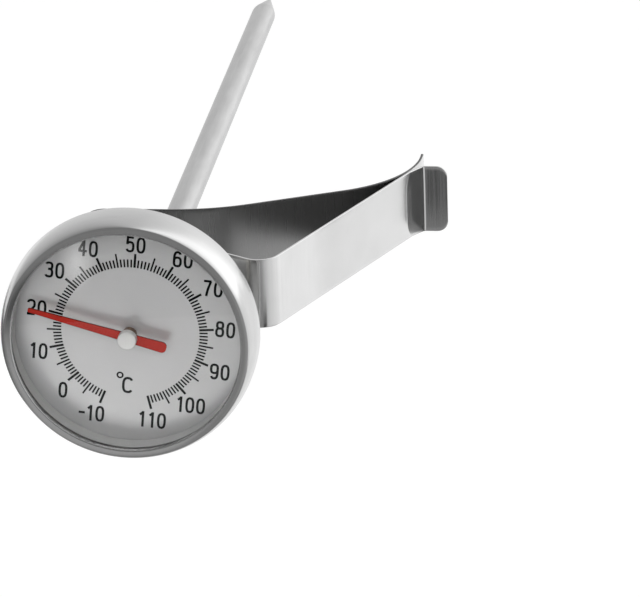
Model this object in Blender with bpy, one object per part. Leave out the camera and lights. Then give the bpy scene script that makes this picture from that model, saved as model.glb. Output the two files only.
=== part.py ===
"""Dial thermometer with a sliding spring clip.

A pressed steel head carries the dial, the pointer and the window on top of a thin probe stem. A bimetal
coil in the lower stem turns the pointer. A spring strip, folded into a triangle, slides on the stem and
grips the wall of a vessel.

Every piece is modelled about the stem's axis. Local +Z points out of the dial, and the dial's printed
face is at height zero. The frame empty then lays the stem along world +Y, with 12 o'clock upwards and
the clip's grip at the world origin. Sizes are in metres.
"""

import math

import bmesh
import bpy
from mathutils import Matrix, Vector

MM = 0.001

# Clearances
SEAT = 0.2 * MM  # between pieces that sit on each other
STACK = 0.1 * MM  # radial, between the round pieces that nest in the head
RUN = 0.1 * MM  # radial, where one piece turns or slides in another
STEM_PLAY = 0.2 * MM  # radial, between the stem and the holes of the clip

# Bezel ring, from the crest at the front to the skirt behind the dial
BEZEL_D = 45.0 * MM
BEZEL_BULGE = 1.2 * MM  # from the shoulder's radius to the greatest radius
BEZEL_WALL = 0.35 * MM  # from the shoulder's radius to the pocket for the cup
CREST_ROUND = 0.45 * MM  # from the shoulder to the crest, both inwards and forwards
CREST_LAND = 0.35 * MM
LIP_REACH = 0.4 * MM  # from the crest's inner edge to the opening
LIP_T = 0.3 * MM
LIP_DROP = 0.4 * MM
SKIRT = 1.5 * MM
SKIRT_EDGE = 0.4 * MM

# Window, seal, spacer ring and dial
DIAL_TO_LENS = 4.1 * MM
LENS_T = 0.9 * MM
GASKET_T = 0.6 * MM
GASKET_WALL = 0.2 * MM
RING_WALL = 0.25 * MM
DIAL_T = 0.5 * MM
DIAL_HOLE_D = 2.0 * MM

# Cup behind the bezel
CUP_WALL = 0.3 * MM
CUP_DEPTH = 6.0 * MM
CUP_CORNER_R = 2.5 * MM
CUP_LEDGE = 0.8 * MM

# Neck between the cup and the stem
BUSH_D = 6.2 * MM
BUSH_FLANGE_D = 10.0 * MM
BUSH_FLANGE_T = 0.8 * MM
BUSH_BORE_D = 2.0 * MM
BEARING_D = 3.0 * MM
BEARING_LENGTH = 2.5 * MM
WASHER_D = 8.6 * MM
WASHER_T = 0.5 * MM
NUT_FLATS = 9.0 * MM
NUT_LENGTH = 6.0 * MM
NUT_SOCKET = 2.5 * MM

# Probe stem
STEM_D = 5.0 * MM
STEM_WALL = 0.4 * MM
STEM_REACH = 180.3 * MM
TIP_LENGTH = 10.2 * MM
TIP_POINT_D = 0.8 * MM
TIP_SPIGOT = 4.0 * MM

# Pointer and its shaft
SHAFT_D = 1.0 * MM
POINTER_HEIGHT = 2.3 * MM
POINTER_T = 0.3 * MM
POINTER_SHORT = 2.1 * MM  # from the pointer's tip to the edge of the bezel's opening
POINTER_TAIL = 6.85 * MM
POINTER_TIP_W = 0.55 * MM
POINTER_TAIL_W = 2.1 * MM
POINTER_TAIL_R = 0.8 * MM
HUB_D = 3.3 * MM
HUB_H = 1.2 * MM
HUB_CAP_T = 0.4 * MM
COLLET_D = 2.5 * MM
COLLET_LIFT = 0.5 * MM

# Reading at 12 o'clock and at rest, in degrees Celsius, and arc of the scale for each of them
MIDDLE_DEGREES = 50.0
REST_DEGREES = 20.3
ARC_PER_DEGREE = 2.7
HEAD_TURN = 6.3  # arc by which the head stands turned clockwise against the clip

# Bimetal coil and what joins it to the shaft and the stem
COIL_D = 2.4 * MM
COIL_WIRE_D = 0.6 * MM
COIL_PITCH = 2.4 * MM
COIL_TURNS = 14
SLEEVE_D = 3.0 * MM
SLEEVE_LENGTH = 4.0 * MM
SLEEVE_CAP_T = 1.0 * MM
ANCHOR_LENGTH = 3.0 * MM
GUIDE_LENGTH = 3.0 * MM
GUIDE_LIFT = 0.8 * MM

# Spring clip: the strip, its station on the stem and its bends
CLIP_W = 12.9 * MM
CLIP_T = 0.45 * MM
CLIP_STATION = 37.3 * MM  # from the back of the cup to the back leg
CLIP_LIP_REACH = 44.0 * MM  # from the stem's axis to the grip lip
CLIP_LIP_LENGTH = 15.3 * MM
CLIP_LIP_BEND_R = 21.7 * MM
CLIP_BACK_SLOPE = math.radians(24.9)
CLIP_BACK_FLAT = 7.8 * MM
CLIP_BACK_BEND_R = 34.8 * MM
CLIP_BASE_DROP = 12.8 * MM  # from the back leg to the base, along the stem
CLIP_BASE_SLOPE = math.radians(32.4)
CLIP_HAIRPIN_R = 2.6 * MM
CLIP_FOLD_REACH = 21.5 * MM
CLIP_FOLD_R = 3.6 * MM
CLIP_FOLD_RUN = 1.0 * MM  # straight strip between the fold and the jaw's hinge line
CLIP_SPLIT = 0.3 * MM
JAW_GAP = 0.3 * MM
JAW_ANGLE = math.radians(36.6)  # place of the grip on the lip's bend
JAW_FACET_LENGTH = 8.7 * MM
JAW_FACET_TILT = math.radians(32.9)
JAW_FACET_R = 3.0 * MM
JAW_TAB_LENGTH = 4.2 * MM
JAW_CREASE_R = 0.6 * MM
TAB_CORNER_R = 2.0 * MM
LIP_CORNER_R = 1.0 * MM

# Fineness of round shapes
HEAD_SIDES = 48
STEM_SIDES = 32
SHAFT_SIDES = 16
ARC_STEP = math.radians(12.0)
COIL_POINTS = 9
SHARP_EDGE = math.radians(35.0)
MERGE = 0.001 * MM
CUT_OVERRUN = 1.0 * MM

# Heights and radii that follow from the sizes above
BEZEL_R = BEZEL_D / 2
SHOULDER_R = BEZEL_R - BEZEL_BULGE
CREST_R = SHOULDER_R - CREST_ROUND
OPENING_R = CREST_R - CREST_LAND - LIP_REACH
POCKET_R = SHOULDER_R - BEZEL_WALL
CUP_R = POCKET_R - STACK
CUP_BORE_R = CUP_R - CUP_WALL
DISC_R = CUP_BORE_R - STACK
LENS_TOP = DIAL_TO_LENS + LENS_T
LIP_UNDERSIDE = LENS_TOP + SEAT
CREST = LIP_UNDERSIDE + LIP_T + LIP_DROP
GASKET_TOP = DIAL_TO_LENS - SEAT
RING_TOP = GASKET_TOP - GASKET_T - SEAT
LEDGE = -DIAL_T - SEAT
BACK_OUTSIDE = -CUP_DEPTH
BACK_INSIDE = BACK_OUTSIDE + CUP_WALL
FLANGE_TOP = BACK_INSIDE + SEAT + BUSH_FLANGE_T
WASHER_TOP = BACK_OUTSIDE - SEAT
NUT_TOP = WASHER_TOP - WASHER_T - SEAT
NUT_BOTTOM = NUT_TOP - NUT_LENGTH
SOCKET_FLOOR = NUT_TOP - NUT_SOCKET
STEM_R = STEM_D / 2
STEM_BORE_R = STEM_R - STEM_WALL
STEM_TOP = SOCKET_FLOOR - SEAT
STEM_END = -STEM_REACH
SHAFT_R = SHAFT_D / 2
SHAFT_HOLE_R = SHAFT_R + RUN
POINTER_REACH = OPENING_R - POINTER_SHORT
POINTER_TOP = POINTER_HEIGHT + POINTER_T
HUB_FOOT = POINTER_TOP + SEAT
HUB_TOP = HUB_FOOT + HUB_H
PLUG_R = STEM_BORE_R - RUN
ANCHOR_FOOT = STEM_END + TIP_SPIGOT + SEAT
COIL_FOOT = ANCHOR_FOOT + ANCHOR_LENGTH + SEAT
COIL_TOP = COIL_FOOT + COIL_PITCH * COIL_TURNS + 2 * COIL_WIRE_D
SLEEVE_FOOT = COIL_TOP + SEAT
SLEEVE_TOP = SLEEVE_FOOT + SLEEVE_LENGTH
GUIDE_FOOT = SLEEVE_TOP + GUIDE_LIFT
BACK_LEG = CUP_DEPTH + CLIP_STATION


def clear_scene():
    """Remove every object of the scene."""
    for item in list(bpy.data.objects):
        bpy.data.objects.remove(item, do_unlink=True)


def finish(name, colour, roughness, metallic):
    """A plain surface finish: linear colour, roughness and metallic value."""
    material = bpy.data.materials.new(name)
    material.use_nodes = True
    shader = material.node_tree.nodes["Principled BSDF"]
    shader.inputs["Base Color"].default_value = (*colour, 1.0)
    shader.inputs["Roughness"].default_value = roughness
    shader.inputs["Metallic"].default_value = metallic
    return material


def empty(name, parent=None, location=(0.0, 0.0, 0.0), turn=(0.0, 0.0, 0.0)):
    """An empty that carries pieces, placed in its parent's frame."""
    item = bpy.data.objects.new(name, None)
    item.parent = parent
    item.location = location
    item.rotation_euler = turn
    bpy.context.scene.collection.objects.link(item)
    return item


def place(name, data, parent, material=None):
    """Link new mesh or curve data to the scene as one named piece."""
    item = bpy.data.objects.new(name, data)
    item.parent = parent
    if material:
        data.materials.append(material)
    bpy.context.scene.collection.objects.link(item)
    return item


def to_mesh(name, bm):
    """Close the edit mesh into mesh data with smooth faces and crisp edges."""
    bmesh.ops.recalc_face_normals(bm, faces=bm.faces)
    mesh = bpy.data.meshes.new(name)
    bm.to_mesh(mesh)
    bm.free()
    mesh.shade_smooth()
    mesh.set_sharp_from_angle(angle=SHARP_EDGE)
    return mesh


def turned(name, section, parent, material=None, sides=HEAD_SIDES):
    """Turn a section of (radius, height) points about the stem's axis.

    A section that starts on the axis is open and ends there too. Any other section is a closed loop.
    """
    bm = bmesh.new()
    points = [bm.verts.new((radius, 0.0, height)) for radius, height in section]
    following = points[1:] if section[0][0] == 0.0 else points[1:] + points[:1]
    lines = [bm.edges.new(pair) for pair in zip(points, following)]
    bmesh.ops.spin(
        bm, geom=points + lines, axis=(0, 0, 1), cent=(0, 0, 0), angle=math.tau, steps=sides, use_merge=True
    )
    bmesh.ops.remove_doubles(bm, verts=bm.verts, dist=MERGE)
    return place(name, to_mesh(name, bm), parent, material)


def tube_section(outer, inner, top, bottom):
    """Closed section of a plain ring."""
    return [(outer, top), (outer, bottom), (inner, bottom), (inner, top)]


def rod_section(radius, top, bottom):
    """Open section of a plain rod, from the axis and back to it."""
    return [(0.0, top), (radius, top), (radius, bottom), (0.0, bottom)]


def cut(piece, section, sides=STEM_SIDES):
    """Cut a turned hollow out of a piece. The cutter stays in the file, hidden."""
    cutter = turned(piece.name + "_cutter", section, piece.parent, sides=sides)
    cutter.matrix_parent_inverse = piece.matrix_parent_inverse
    cutter.hide_render = True
    cutter.display_type = "WIRE"
    boolean = piece.modifiers.new("hollow", "BOOLEAN")
    boolean.operation = "DIFFERENCE"
    boolean.object = cutter


def thicken(piece, thickness):
    """Give a sheet its thickness, half to each side."""
    solidify = piece.modifiers.new("sheet", "SOLIDIFY")
    solidify.thickness = thickness
    solidify.offset = 0.0
    solidify.use_even_offset = True


def rounded_path(corners, radii):
    """Straight runs through the corners, with an arc of the given radius at each inner corner."""
    path = [corners[0]]
    for before, corner, after, radius in zip(corners, corners[1:], corners[2:], radii):
        into = (corner - before).normalized()
        out = (after - corner).normalized()
        turn = math.atan2(into.cross(out), into.dot(out))
        start = corner - into * radius * math.tan(abs(turn) / 2)
        centre = start + Vector((-into.y, into.x)) * math.copysign(radius, turn)
        steps = math.ceil(abs(turn) / ARC_STEP)
        for step in range(steps + 1):
            path.append(centre + Matrix.Rotation(turn * step / steps, 2) @ (start - centre))
    path.append(corners[-1])
    return path


def bezel_ring(parent, material):
    """Pressed ring with a bulged side, a rounded crest and a lip folded in over the window.

    The side is part of an ellipse that would reach its top at the crest's height.
    """
    shoulder = CREST - CREST_ROUND
    rise = math.asin(shoulder / CREST)
    depth = BEZEL_BULGE / (1 - math.cos(rise))
    steps = round(rise / ARC_STEP)
    side = []
    for step in range(steps + 1):
        angle = rise * (1 - step / steps)
        side.append((BEZEL_R - depth * (1 - math.cos(angle)), CREST * math.sin(angle)))
    corner = CREST_ROUND * math.sin(math.pi / 4)
    section = side + [
        (BEZEL_R, -SKIRT + SKIRT_EDGE),
        (BEZEL_R - SKIRT_EDGE, -SKIRT),
        (POCKET_R, -SKIRT),
        (POCKET_R, LIP_UNDERSIDE),
        (OPENING_R, LIP_UNDERSIDE),
        (OPENING_R, LIP_UNDERSIDE + LIP_T),
        (CREST_R - CREST_LAND, CREST),
        (CREST_R, CREST),
        (CREST_R + corner, shoulder + corner),
    ]
    return turned("bezel_ring", section, parent, material)


def case_cup(parent, material):
    """Pressed cup with a ledge under the dial, a rounded back corner and a hole for the bush."""
    back_r = CUP_R - CUP_LEDGE
    hole_r = BUSH_D / 2 + SEAT
    corner_in_r = CUP_CORNER_R - CUP_WALL
    centre = Vector((back_r - CUP_CORNER_R, BACK_OUTSIDE + CUP_CORNER_R))
    steps = round(math.pi / 2 / ARC_STEP / 2)
    outside = []
    inside = []
    for step in range(steps + 1):
        angle = -math.pi / 2 * step / steps
        spoke = Vector((math.cos(angle), math.sin(angle)))
        outside.append(tuple(centre + spoke * CUP_CORNER_R))
        inside.append(tuple(centre + spoke * corner_in_r))
    section = [
        (CUP_R, LENS_TOP),
        (CUP_R, LEDGE - CUP_WALL),
        (back_r, LEDGE - CUP_WALL),
        *outside,
        (hole_r, BACK_OUTSIDE),
        (hole_r, BACK_INSIDE),
        *reversed(inside),
        (back_r - CUP_WALL, LEDGE),
        (CUP_BORE_R, LEDGE),
        (CUP_BORE_R, LENS_TOP),
    ]
    return turned("case_cup", section, parent, material)


def head_inside(parent, finishes):
    """Window, seal, spacer ring and dial, stacked inside the cup."""
    ring_bore_r = DISC_R - RING_WALL
    turned("lens", rod_section(DISC_R, LENS_TOP, DIAL_TO_LENS), parent, finishes["window"])
    gasket = tube_section(DISC_R, DISC_R - GASKET_WALL, GASKET_TOP, GASKET_TOP - GASKET_T)
    turned("lens_gasket", gasket, parent, finishes["rubber"])
    turned("dial_ring", tube_section(DISC_R, ring_bore_r, RING_TOP, SEAT), parent, finishes["grey_steel"])
    dial = tube_section(DISC_R, DIAL_HOLE_D / 2, 0.0, -DIAL_T)
    turned("dial_plate", dial, parent, finishes["dial"])


def neck(head, stem, finishes):
    """Bush and bearing on the cup, with the friction washer and the nut of the stem."""
    seat_r = BEARING_D / 2 + RUN
    bearing_foot = FLANGE_TOP - BEARING_LENGTH
    bush = [
        (BUSH_FLANGE_D / 2, FLANGE_TOP),
        (BUSH_FLANGE_D / 2, BACK_INSIDE + SEAT),
        (BUSH_D / 2, BACK_INSIDE + SEAT),
        (BUSH_D / 2, SOCKET_FLOOR + SEAT),
        (BUSH_BORE_D / 2, SOCKET_FLOOR + SEAT),
        (BUSH_BORE_D / 2, bearing_foot - SEAT),
        (seat_r, bearing_foot - SEAT),
        (seat_r, FLANGE_TOP),
    ]
    turned("case_bush", bush, head, finishes["brass"], STEM_SIDES)
    bearing = tube_section(BEARING_D / 2, SHAFT_HOLE_R, FLANGE_TOP, bearing_foot)
    turned("shaft_bearing", bearing, head, finishes["brass"], SHAFT_SIDES)
    washer = tube_section(WASHER_D / 2, BUSH_D / 2 + SEAT, WASHER_TOP, WASHER_TOP - WASHER_T)
    turned("friction_washer", washer, head, finishes["spring_steel"], STEM_SIDES)
    bm = bmesh.new()
    corner_r = NUT_FLATS / 2 / math.cos(math.pi / 6)
    middle = Matrix.Translation((0.0, 0.0, NUT_TOP - NUT_LENGTH / 2))
    bmesh.ops.create_cone(
        bm, cap_ends=True, segments=6, radius1=corner_r, radius2=corner_r, depth=NUT_LENGTH, matrix=middle
    )
    nut = place("calibration_nut", to_mesh("calibration_nut", bm), stem, finishes["nickel"])
    bore = [
        (0.0, NUT_TOP + CUT_OVERRUN),
        (BUSH_D / 2 + RUN, NUT_TOP + CUT_OVERRUN),
        (BUSH_D / 2 + RUN, SOCKET_FLOOR),
        (STEM_R + RUN, SOCKET_FLOOR),
        (STEM_R + RUN, NUT_BOTTOM - CUT_OVERRUN),
        (0.0, NUT_BOTTOM - CUT_OVERRUN),
    ]
    cut(nut, bore)


def stem_pieces(parent, finishes):
    """Probe tube with its conical tip, and the guide and anchor inside it."""
    tube = tube_section(STEM_R, STEM_BORE_R, STEM_TOP, STEM_END)
    turned("stem_tube", tube, parent, finishes["satin_steel"], STEM_SIDES)
    point_r = TIP_POINT_D / 2
    tip = [
        (0.0, STEM_END + TIP_SPIGOT),
        (PLUG_R, STEM_END + TIP_SPIGOT),
        (PLUG_R, STEM_END - SEAT),
        (STEM_R, STEM_END - SEAT),
        (point_r, STEM_END - TIP_LENGTH + point_r),
        (point_r * math.sin(math.pi / 4), STEM_END - TIP_LENGTH + point_r * (1 - math.cos(math.pi / 4))),
        (0.0, STEM_END - TIP_LENGTH),
    ]
    turned("stem_tip", tip, parent, finishes["satin_steel"], STEM_SIDES)
    anchor = rod_section(PLUG_R, ANCHOR_FOOT + ANCHOR_LENGTH, ANCHOR_FOOT)
    turned("coil_anchor", anchor, parent, finishes["brass"], SHAFT_SIDES)
    guide = tube_section(PLUG_R, SHAFT_HOLE_R, GUIDE_FOOT + GUIDE_LENGTH, GUIDE_FOOT)
    turned("shaft_guide", guide, parent, finishes["brass"], SHAFT_SIDES)


def coil_points():
    """Helix from the anchor to the sleeve, with a straight end of one wire diameter at each side."""
    points = [Vector((COIL_D / 2, 0.0, COIL_FOOT))]
    for step in range(COIL_TURNS * COIL_POINTS + 1):
        turns = step / COIL_POINTS
        angle = math.tau * turns
        height = COIL_FOOT + COIL_WIRE_D + COIL_PITCH * turns
        points.append(Vector((COIL_D / 2 * math.cos(angle), COIL_D / 2 * math.sin(angle), height)))
    points.append(points[-1] + Vector((0.0, 0.0, COIL_WIRE_D)))
    return points


def bimetal_coil(parent, material):
    """Temperature-sensing helix, one unbroken wire. Its least gap to itself is measured and printed."""
    points = coil_points()
    gaps = []
    for first in range(len(points)):
        for second in range(first + COIL_POINTS // 2 + 1, len(points)):
            gaps.append((points[first] - points[second]).length - COIL_WIRE_D)
    print(f"bimetal_coil: least gap to itself {min(gaps) / MM:.2f} mm")
    curve = bpy.data.curves.new("bimetal_coil", "CURVE")
    curve.dimensions = "3D"
    curve.bevel_depth = COIL_WIRE_D / 2
    curve.bevel_resolution = 1
    curve.use_fill_caps = True
    spline = curve.splines.new("POLY")
    spline.points.add(len(points) - 1)
    for target, point in zip(spline.points, points):
        target.co = (*point, 1.0)
    return place("bimetal_coil", curve, parent, material)


def pointer_pieces(parent, finishes):
    """Pointer with its cap and collet on the shaft, and the sleeve at the shaft's lower end."""
    tip = POINTER_TIP_W / 2
    tail = POINTER_TAIL_W / 2
    corners = [
        Vector((tip, POINTER_REACH)),
        Vector((tail, -POINTER_TAIL)),
        Vector((-tail, -POINTER_TAIL)),
        Vector((-tip, POINTER_REACH)),
    ]
    bm = bmesh.new()
    height = POINTER_HEIGHT + POINTER_T / 2
    outline = [bm.verts.new((*point, height)) for point in rounded_path(corners, [POINTER_TAIL_R] * 2)]
    bm.faces.new(outline)
    pointer = place("pointer", to_mesh("pointer", bm), parent, finishes["red"])
    thicken(pointer, POINTER_T)
    cut(pointer, rod_section(SHAFT_HOLE_R, HUB_TOP, 0.0), SHAFT_SIDES)
    bore_top = HUB_TOP - HUB_CAP_T
    hub = [
        (0.0, HUB_TOP),
        (HUB_D / 2, HUB_TOP),
        (HUB_D / 2, HUB_FOOT),
        (SHAFT_HOLE_R, HUB_FOOT),
        (SHAFT_HOLE_R, bore_top),
        (0.0, bore_top),
    ]
    turned("pointer_hub", hub, parent, finishes["nickel"], STEM_SIDES)
    collet = tube_section(COLLET_D / 2, SHAFT_HOLE_R, POINTER_HEIGHT - SEAT, COLLET_LIFT)
    turned("pointer_collet", collet, parent, finishes["brass"], SHAFT_SIDES)
    sleeve_bore = SLEEVE_FOOT + SLEEVE_CAP_T
    shaft = rod_section(SHAFT_R, bore_top - SEAT, sleeve_bore + SEAT)
    turned("pointer_shaft", shaft, parent, finishes["spring_steel"], SHAFT_SIDES)
    sleeve = [
        (0.0, sleeve_bore),
        (SHAFT_HOLE_R, sleeve_bore),
        (SHAFT_HOLE_R, SLEEVE_TOP),
        (SLEEVE_D / 2, SLEEVE_TOP),
        (SLEEVE_D / 2, SLEEVE_FOOT),
        (0.0, SLEEVE_FOOT),
    ]
    turned("coil_sleeve", sleeve, parent, finishes["brass"], SHAFT_SIDES)


def clip_corners():
    """Corners of the strip's middle line, as (distance from the axis, distance behind the dial).

    Returns the band's corners from the grip lip to the front fold, the jaw's corners from the fold to the
    tab, and the grip, which lies in the gap between the two.
    """
    lip_corner = Vector(
        (CLIP_LIP_REACH, BACK_LEG + (CLIP_LIP_REACH - CLIP_BACK_FLAT) * math.tan(CLIP_BACK_SLOPE))
    )
    hairpin = Vector((-CLIP_BASE_DROP / math.tan(CLIP_BASE_SLOPE), BACK_LEG))
    fold = Vector(
        (CLIP_FOLD_REACH, BACK_LEG - CLIP_BASE_DROP - CLIP_FOLD_REACH * math.tan(CLIP_BASE_SLOPE))
    )
    lip_end = lip_corner + Vector((0.0, CLIP_LIP_LENGTH))
    lip_turn = math.pi / 2 - CLIP_BACK_SLOPE
    bend_centre = lip_corner + Vector((-CLIP_LIP_BEND_R, CLIP_LIP_BEND_R * math.tan(lip_turn / 2)))
    spoke = Vector((math.cos(JAW_ANGLE), -math.sin(JAW_ANGLE)))
    pitch = CLIP_T + JAW_GAP
    facet = bend_centre + spoke * (CLIP_LIP_BEND_R + pitch)
    grip = bend_centre + spoke * (CLIP_LIP_BEND_R + pitch / 2)
    crease = facet + Vector((math.sin(JAW_FACET_TILT), math.cos(JAW_FACET_TILT))) * JAW_FACET_LENGTH
    tab_end = crease + Vector((JAW_TAB_LENGTH, 0.0))
    band = [lip_end, lip_corner, Vector((CLIP_BACK_FLAT, BACK_LEG)), hairpin, fold]
    return band, [fold, facet, crease, tab_end], grip


def jaw_hinge(band, jaw):
    """Place on the middle line where the front leg starts to bend away, and the leg's direction there."""
    base = (band[-1] - band[-2]).normalized()
    leg = (jaw[1] - jaw[0]).normalized()
    fold_reach = CLIP_FOLD_R * math.tan(base.angle(leg) / 2)
    return jaw[0] + leg * (fold_reach + CLIP_FOLD_RUN), leg


def strip(name, path, parent, material, rounded_end, corner_r):
    """Sheet strip along a path, with the corners of one end rounded."""
    bm = bmesh.new()
    lower = [bm.verts.new((across, -CLIP_W / 2, -behind)) for across, behind in path]
    lines = [bm.edges.new(pair) for pair in zip(lower, lower[1:])]
    swept = bmesh.ops.extrude_edge_only(bm, edges=lines)["geom"]
    upper = [item for item in swept if isinstance(item, bmesh.types.BMVert)]
    bmesh.ops.translate(bm, verts=upper, vec=(0.0, CLIP_W, 0.0))
    end = Vector((rounded_end.x, -rounded_end.y))
    corners = [vert for vert in bm.verts if (vert.co.xz - end).length < MERGE]
    bmesh.ops.bevel(bm, geom=corners, offset=corner_r, segments=5, profile=0.5, affect="VERTICES")
    piece = place(name, to_mesh(name, bm), parent, material)
    thicken(piece, CLIP_T)
    return piece


def clip_pieces(frame, finishes):
    """The spring strip, split at the line where its front leg bends open."""
    band, jaw, _ = clip_corners()
    hinge, leg = jaw_hinge(band, jaw)
    half_split = leg * CLIP_SPLIT / 2
    band_radii = [CLIP_LIP_BEND_R, CLIP_BACK_BEND_R, CLIP_HAIRPIN_R, CLIP_FOLD_R]
    band_path = rounded_path(band + [hinge - half_split], band_radii)
    carrier = strip("clip_band", band_path, frame, finishes["spring_steel"], band[0], LIP_CORNER_R)
    cut(carrier, rod_section(STEM_R + STEM_PLAY, 0.0, STEM_END))
    pivot = empty("jaw_pivot", frame, (hinge.x, 0.0, -hinge.y))
    jaw_path = rounded_path([hinge + half_split] + jaw[1:], [JAW_FACET_R, JAW_CREASE_R])
    jaw_path = [point - hinge for point in jaw_path]
    strip("clip_jaw", jaw_path, pivot, finishes["spring_steel"], jaw_path[-1], TAB_CORNER_R)


def build():
    """Make every piece, from the frame outwards."""
    clear_scene()
    finishes = {
        "polished_steel": finish("polished_steel", (0.62, 0.62, 0.61), 0.22, 1.0),
        "satin_steel": finish("satin_steel", (0.55, 0.55, 0.54), 0.38, 1.0),
        "spring_steel": finish("spring_steel", (0.60, 0.60, 0.60), 0.25, 1.0),
        "grey_steel": finish("grey_steel", (0.30, 0.30, 0.30), 0.40, 1.0),
        "nickel": finish("nickel", (0.66, 0.64, 0.60), 0.25, 1.0),
        "brass": finish("brass", (0.72, 0.52, 0.22), 0.35, 1.0),
        "bimetal": finish("bimetal", (0.50, 0.44, 0.36), 0.40, 1.0),
        "dial": finish("dial", (0.52, 0.52, 0.52), 0.35, 0.6),
        "window": finish("window", (0.95, 0.96, 0.96), 0.05, 0.0),
        "rubber": finish("rubber", (0.02, 0.02, 0.02), 0.80, 0.0),
        "red": finish("red", (0.52, 0.04, 0.03), 0.40, 0.0),
    }
    grip = clip_corners()[2]
    frame = empty("frame", None, (-grip.x, -grip.y, 0.0), (math.pi / 2, 0.0, 0.0))
    head = empty("head_axis", frame, turn=(0.0, 0.0, -math.radians(HEAD_TURN)))
    stem = empty("stem_axis", frame)
    reading_turn = HEAD_TURN + (REST_DEGREES - MIDDLE_DEGREES) * ARC_PER_DEGREE
    pointer = empty("pointer_axis", frame, turn=(0.0, 0.0, -math.radians(reading_turn)))
    bezel_ring(head, finishes["polished_steel"])
    case_cup(head, finishes["satin_steel"])
    head_inside(head, finishes)
    neck(head, stem, finishes)
    stem_pieces(stem, finishes)
    bimetal_coil(stem, finishes["bimetal"])
    pointer_pieces(pointer, finishes)
    clip_pieces(frame, finishes)


build()
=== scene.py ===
"""Looks of a dial thermometer with a sliding spring clip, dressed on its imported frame.

The head, the print, the needle, the probe and the clip are classes that hold their sizes in millimetres,
build their surfaces from formulas and dress them in the finish of the real material. The studio makes the
floor, the light and the camera.
"""

from __future__ import annotations

import logging
import math
from dataclasses import dataclass
from enum import Enum, IntEnum
from functools import lru_cache

import bmesh
import bpy
import numpy as np
from mathutils import Matrix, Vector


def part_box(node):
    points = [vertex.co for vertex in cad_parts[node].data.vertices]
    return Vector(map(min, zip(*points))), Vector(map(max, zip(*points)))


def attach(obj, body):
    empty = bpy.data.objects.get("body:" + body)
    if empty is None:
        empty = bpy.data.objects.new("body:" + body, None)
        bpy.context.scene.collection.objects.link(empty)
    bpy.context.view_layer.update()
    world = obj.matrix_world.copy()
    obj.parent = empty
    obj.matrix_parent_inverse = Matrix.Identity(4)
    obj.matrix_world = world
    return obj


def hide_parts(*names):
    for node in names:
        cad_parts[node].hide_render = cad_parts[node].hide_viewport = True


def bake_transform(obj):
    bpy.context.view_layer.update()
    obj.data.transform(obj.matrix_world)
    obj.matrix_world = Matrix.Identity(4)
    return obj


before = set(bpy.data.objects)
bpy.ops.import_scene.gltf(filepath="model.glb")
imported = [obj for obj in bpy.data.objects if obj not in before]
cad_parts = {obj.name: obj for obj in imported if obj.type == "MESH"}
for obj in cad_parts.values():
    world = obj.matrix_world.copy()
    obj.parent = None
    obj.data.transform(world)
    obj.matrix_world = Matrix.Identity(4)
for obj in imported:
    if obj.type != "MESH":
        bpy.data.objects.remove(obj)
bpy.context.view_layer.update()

LOG = logging.getLogger("thermometer")
Array = np.ndarray
MM = 0.001
TURN = 2.0 * math.pi
MERGE = 1.0e-7  # metres; points that are closer become one
CREASE = 35.0  # degrees; an edge that turns by more stays crisp
NOISE_SPAN = (0.3, 0.7)  # most values of a noise lie in this range
RAMP_TOP = 2.0  # a ramp's colours end at one, so it holds brightness as a share of this
WHITE = (1.0, 1.0, 1.0, 1.0)


# Materials


class Lay(Enum):
    """How a finish reads its pattern: in the piece's own place, or along its flat coordinates."""

    PLACE = "Object"
    FLAT = "UV"


def linear(code: str) -> tuple[float, float, float, float]:
    """Turn an sRGB hex colour into linear values.

    Args:
        code: six hex digits with a leading #.

    Returns:
        Linear red, green and blue with an alpha of one.
    """
    parts = [int(code[start : start + 2], 16) / 255.0 for start in (1, 3, 5)]
    values = [part / 12.92 if part <= 0.04045 else ((part + 0.055) / 1.055) ** 2.4 for part in parts]
    return values[0], values[1], values[2], 1.0


def add(
    tree: bpy.types.NodeTree, kind: str, inputs: dict | None = None, **settings: object
) -> bpy.types.Node:
    """Add one node with its settings, and fill or link its inputs.

    Args:
        tree: node tree that gets the node.
        kind: the node's type name.
        inputs: value or output socket for each input, by name or number.
        settings: options of the node.

    Returns:
        The new node.
    """
    node = tree.nodes.new(kind)
    for option, value in settings.items():
        setattr(node, option, value)
    for socket, value in (inputs or {}).items():
        if isinstance(value, bpy.types.NodeSocket):
            tree.links.new(value, node.inputs[socket])
        else:
            node.inputs[socket].default_value = value
    return node


def blank_tree(name: str) -> tuple[bpy.types.Material, bpy.types.NodeTree, bpy.types.Node]:
    """Make a material whose tree holds only its output.

    Args:
        name: the material's name.

    Returns:
        The material, its tree and the output node.
    """
    material = bpy.data.materials.new(name)
    material.use_nodes = True
    material.node_tree.nodes.clear()
    return material, material.node_tree, add(material.node_tree, "ShaderNodeOutputMaterial")


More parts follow.
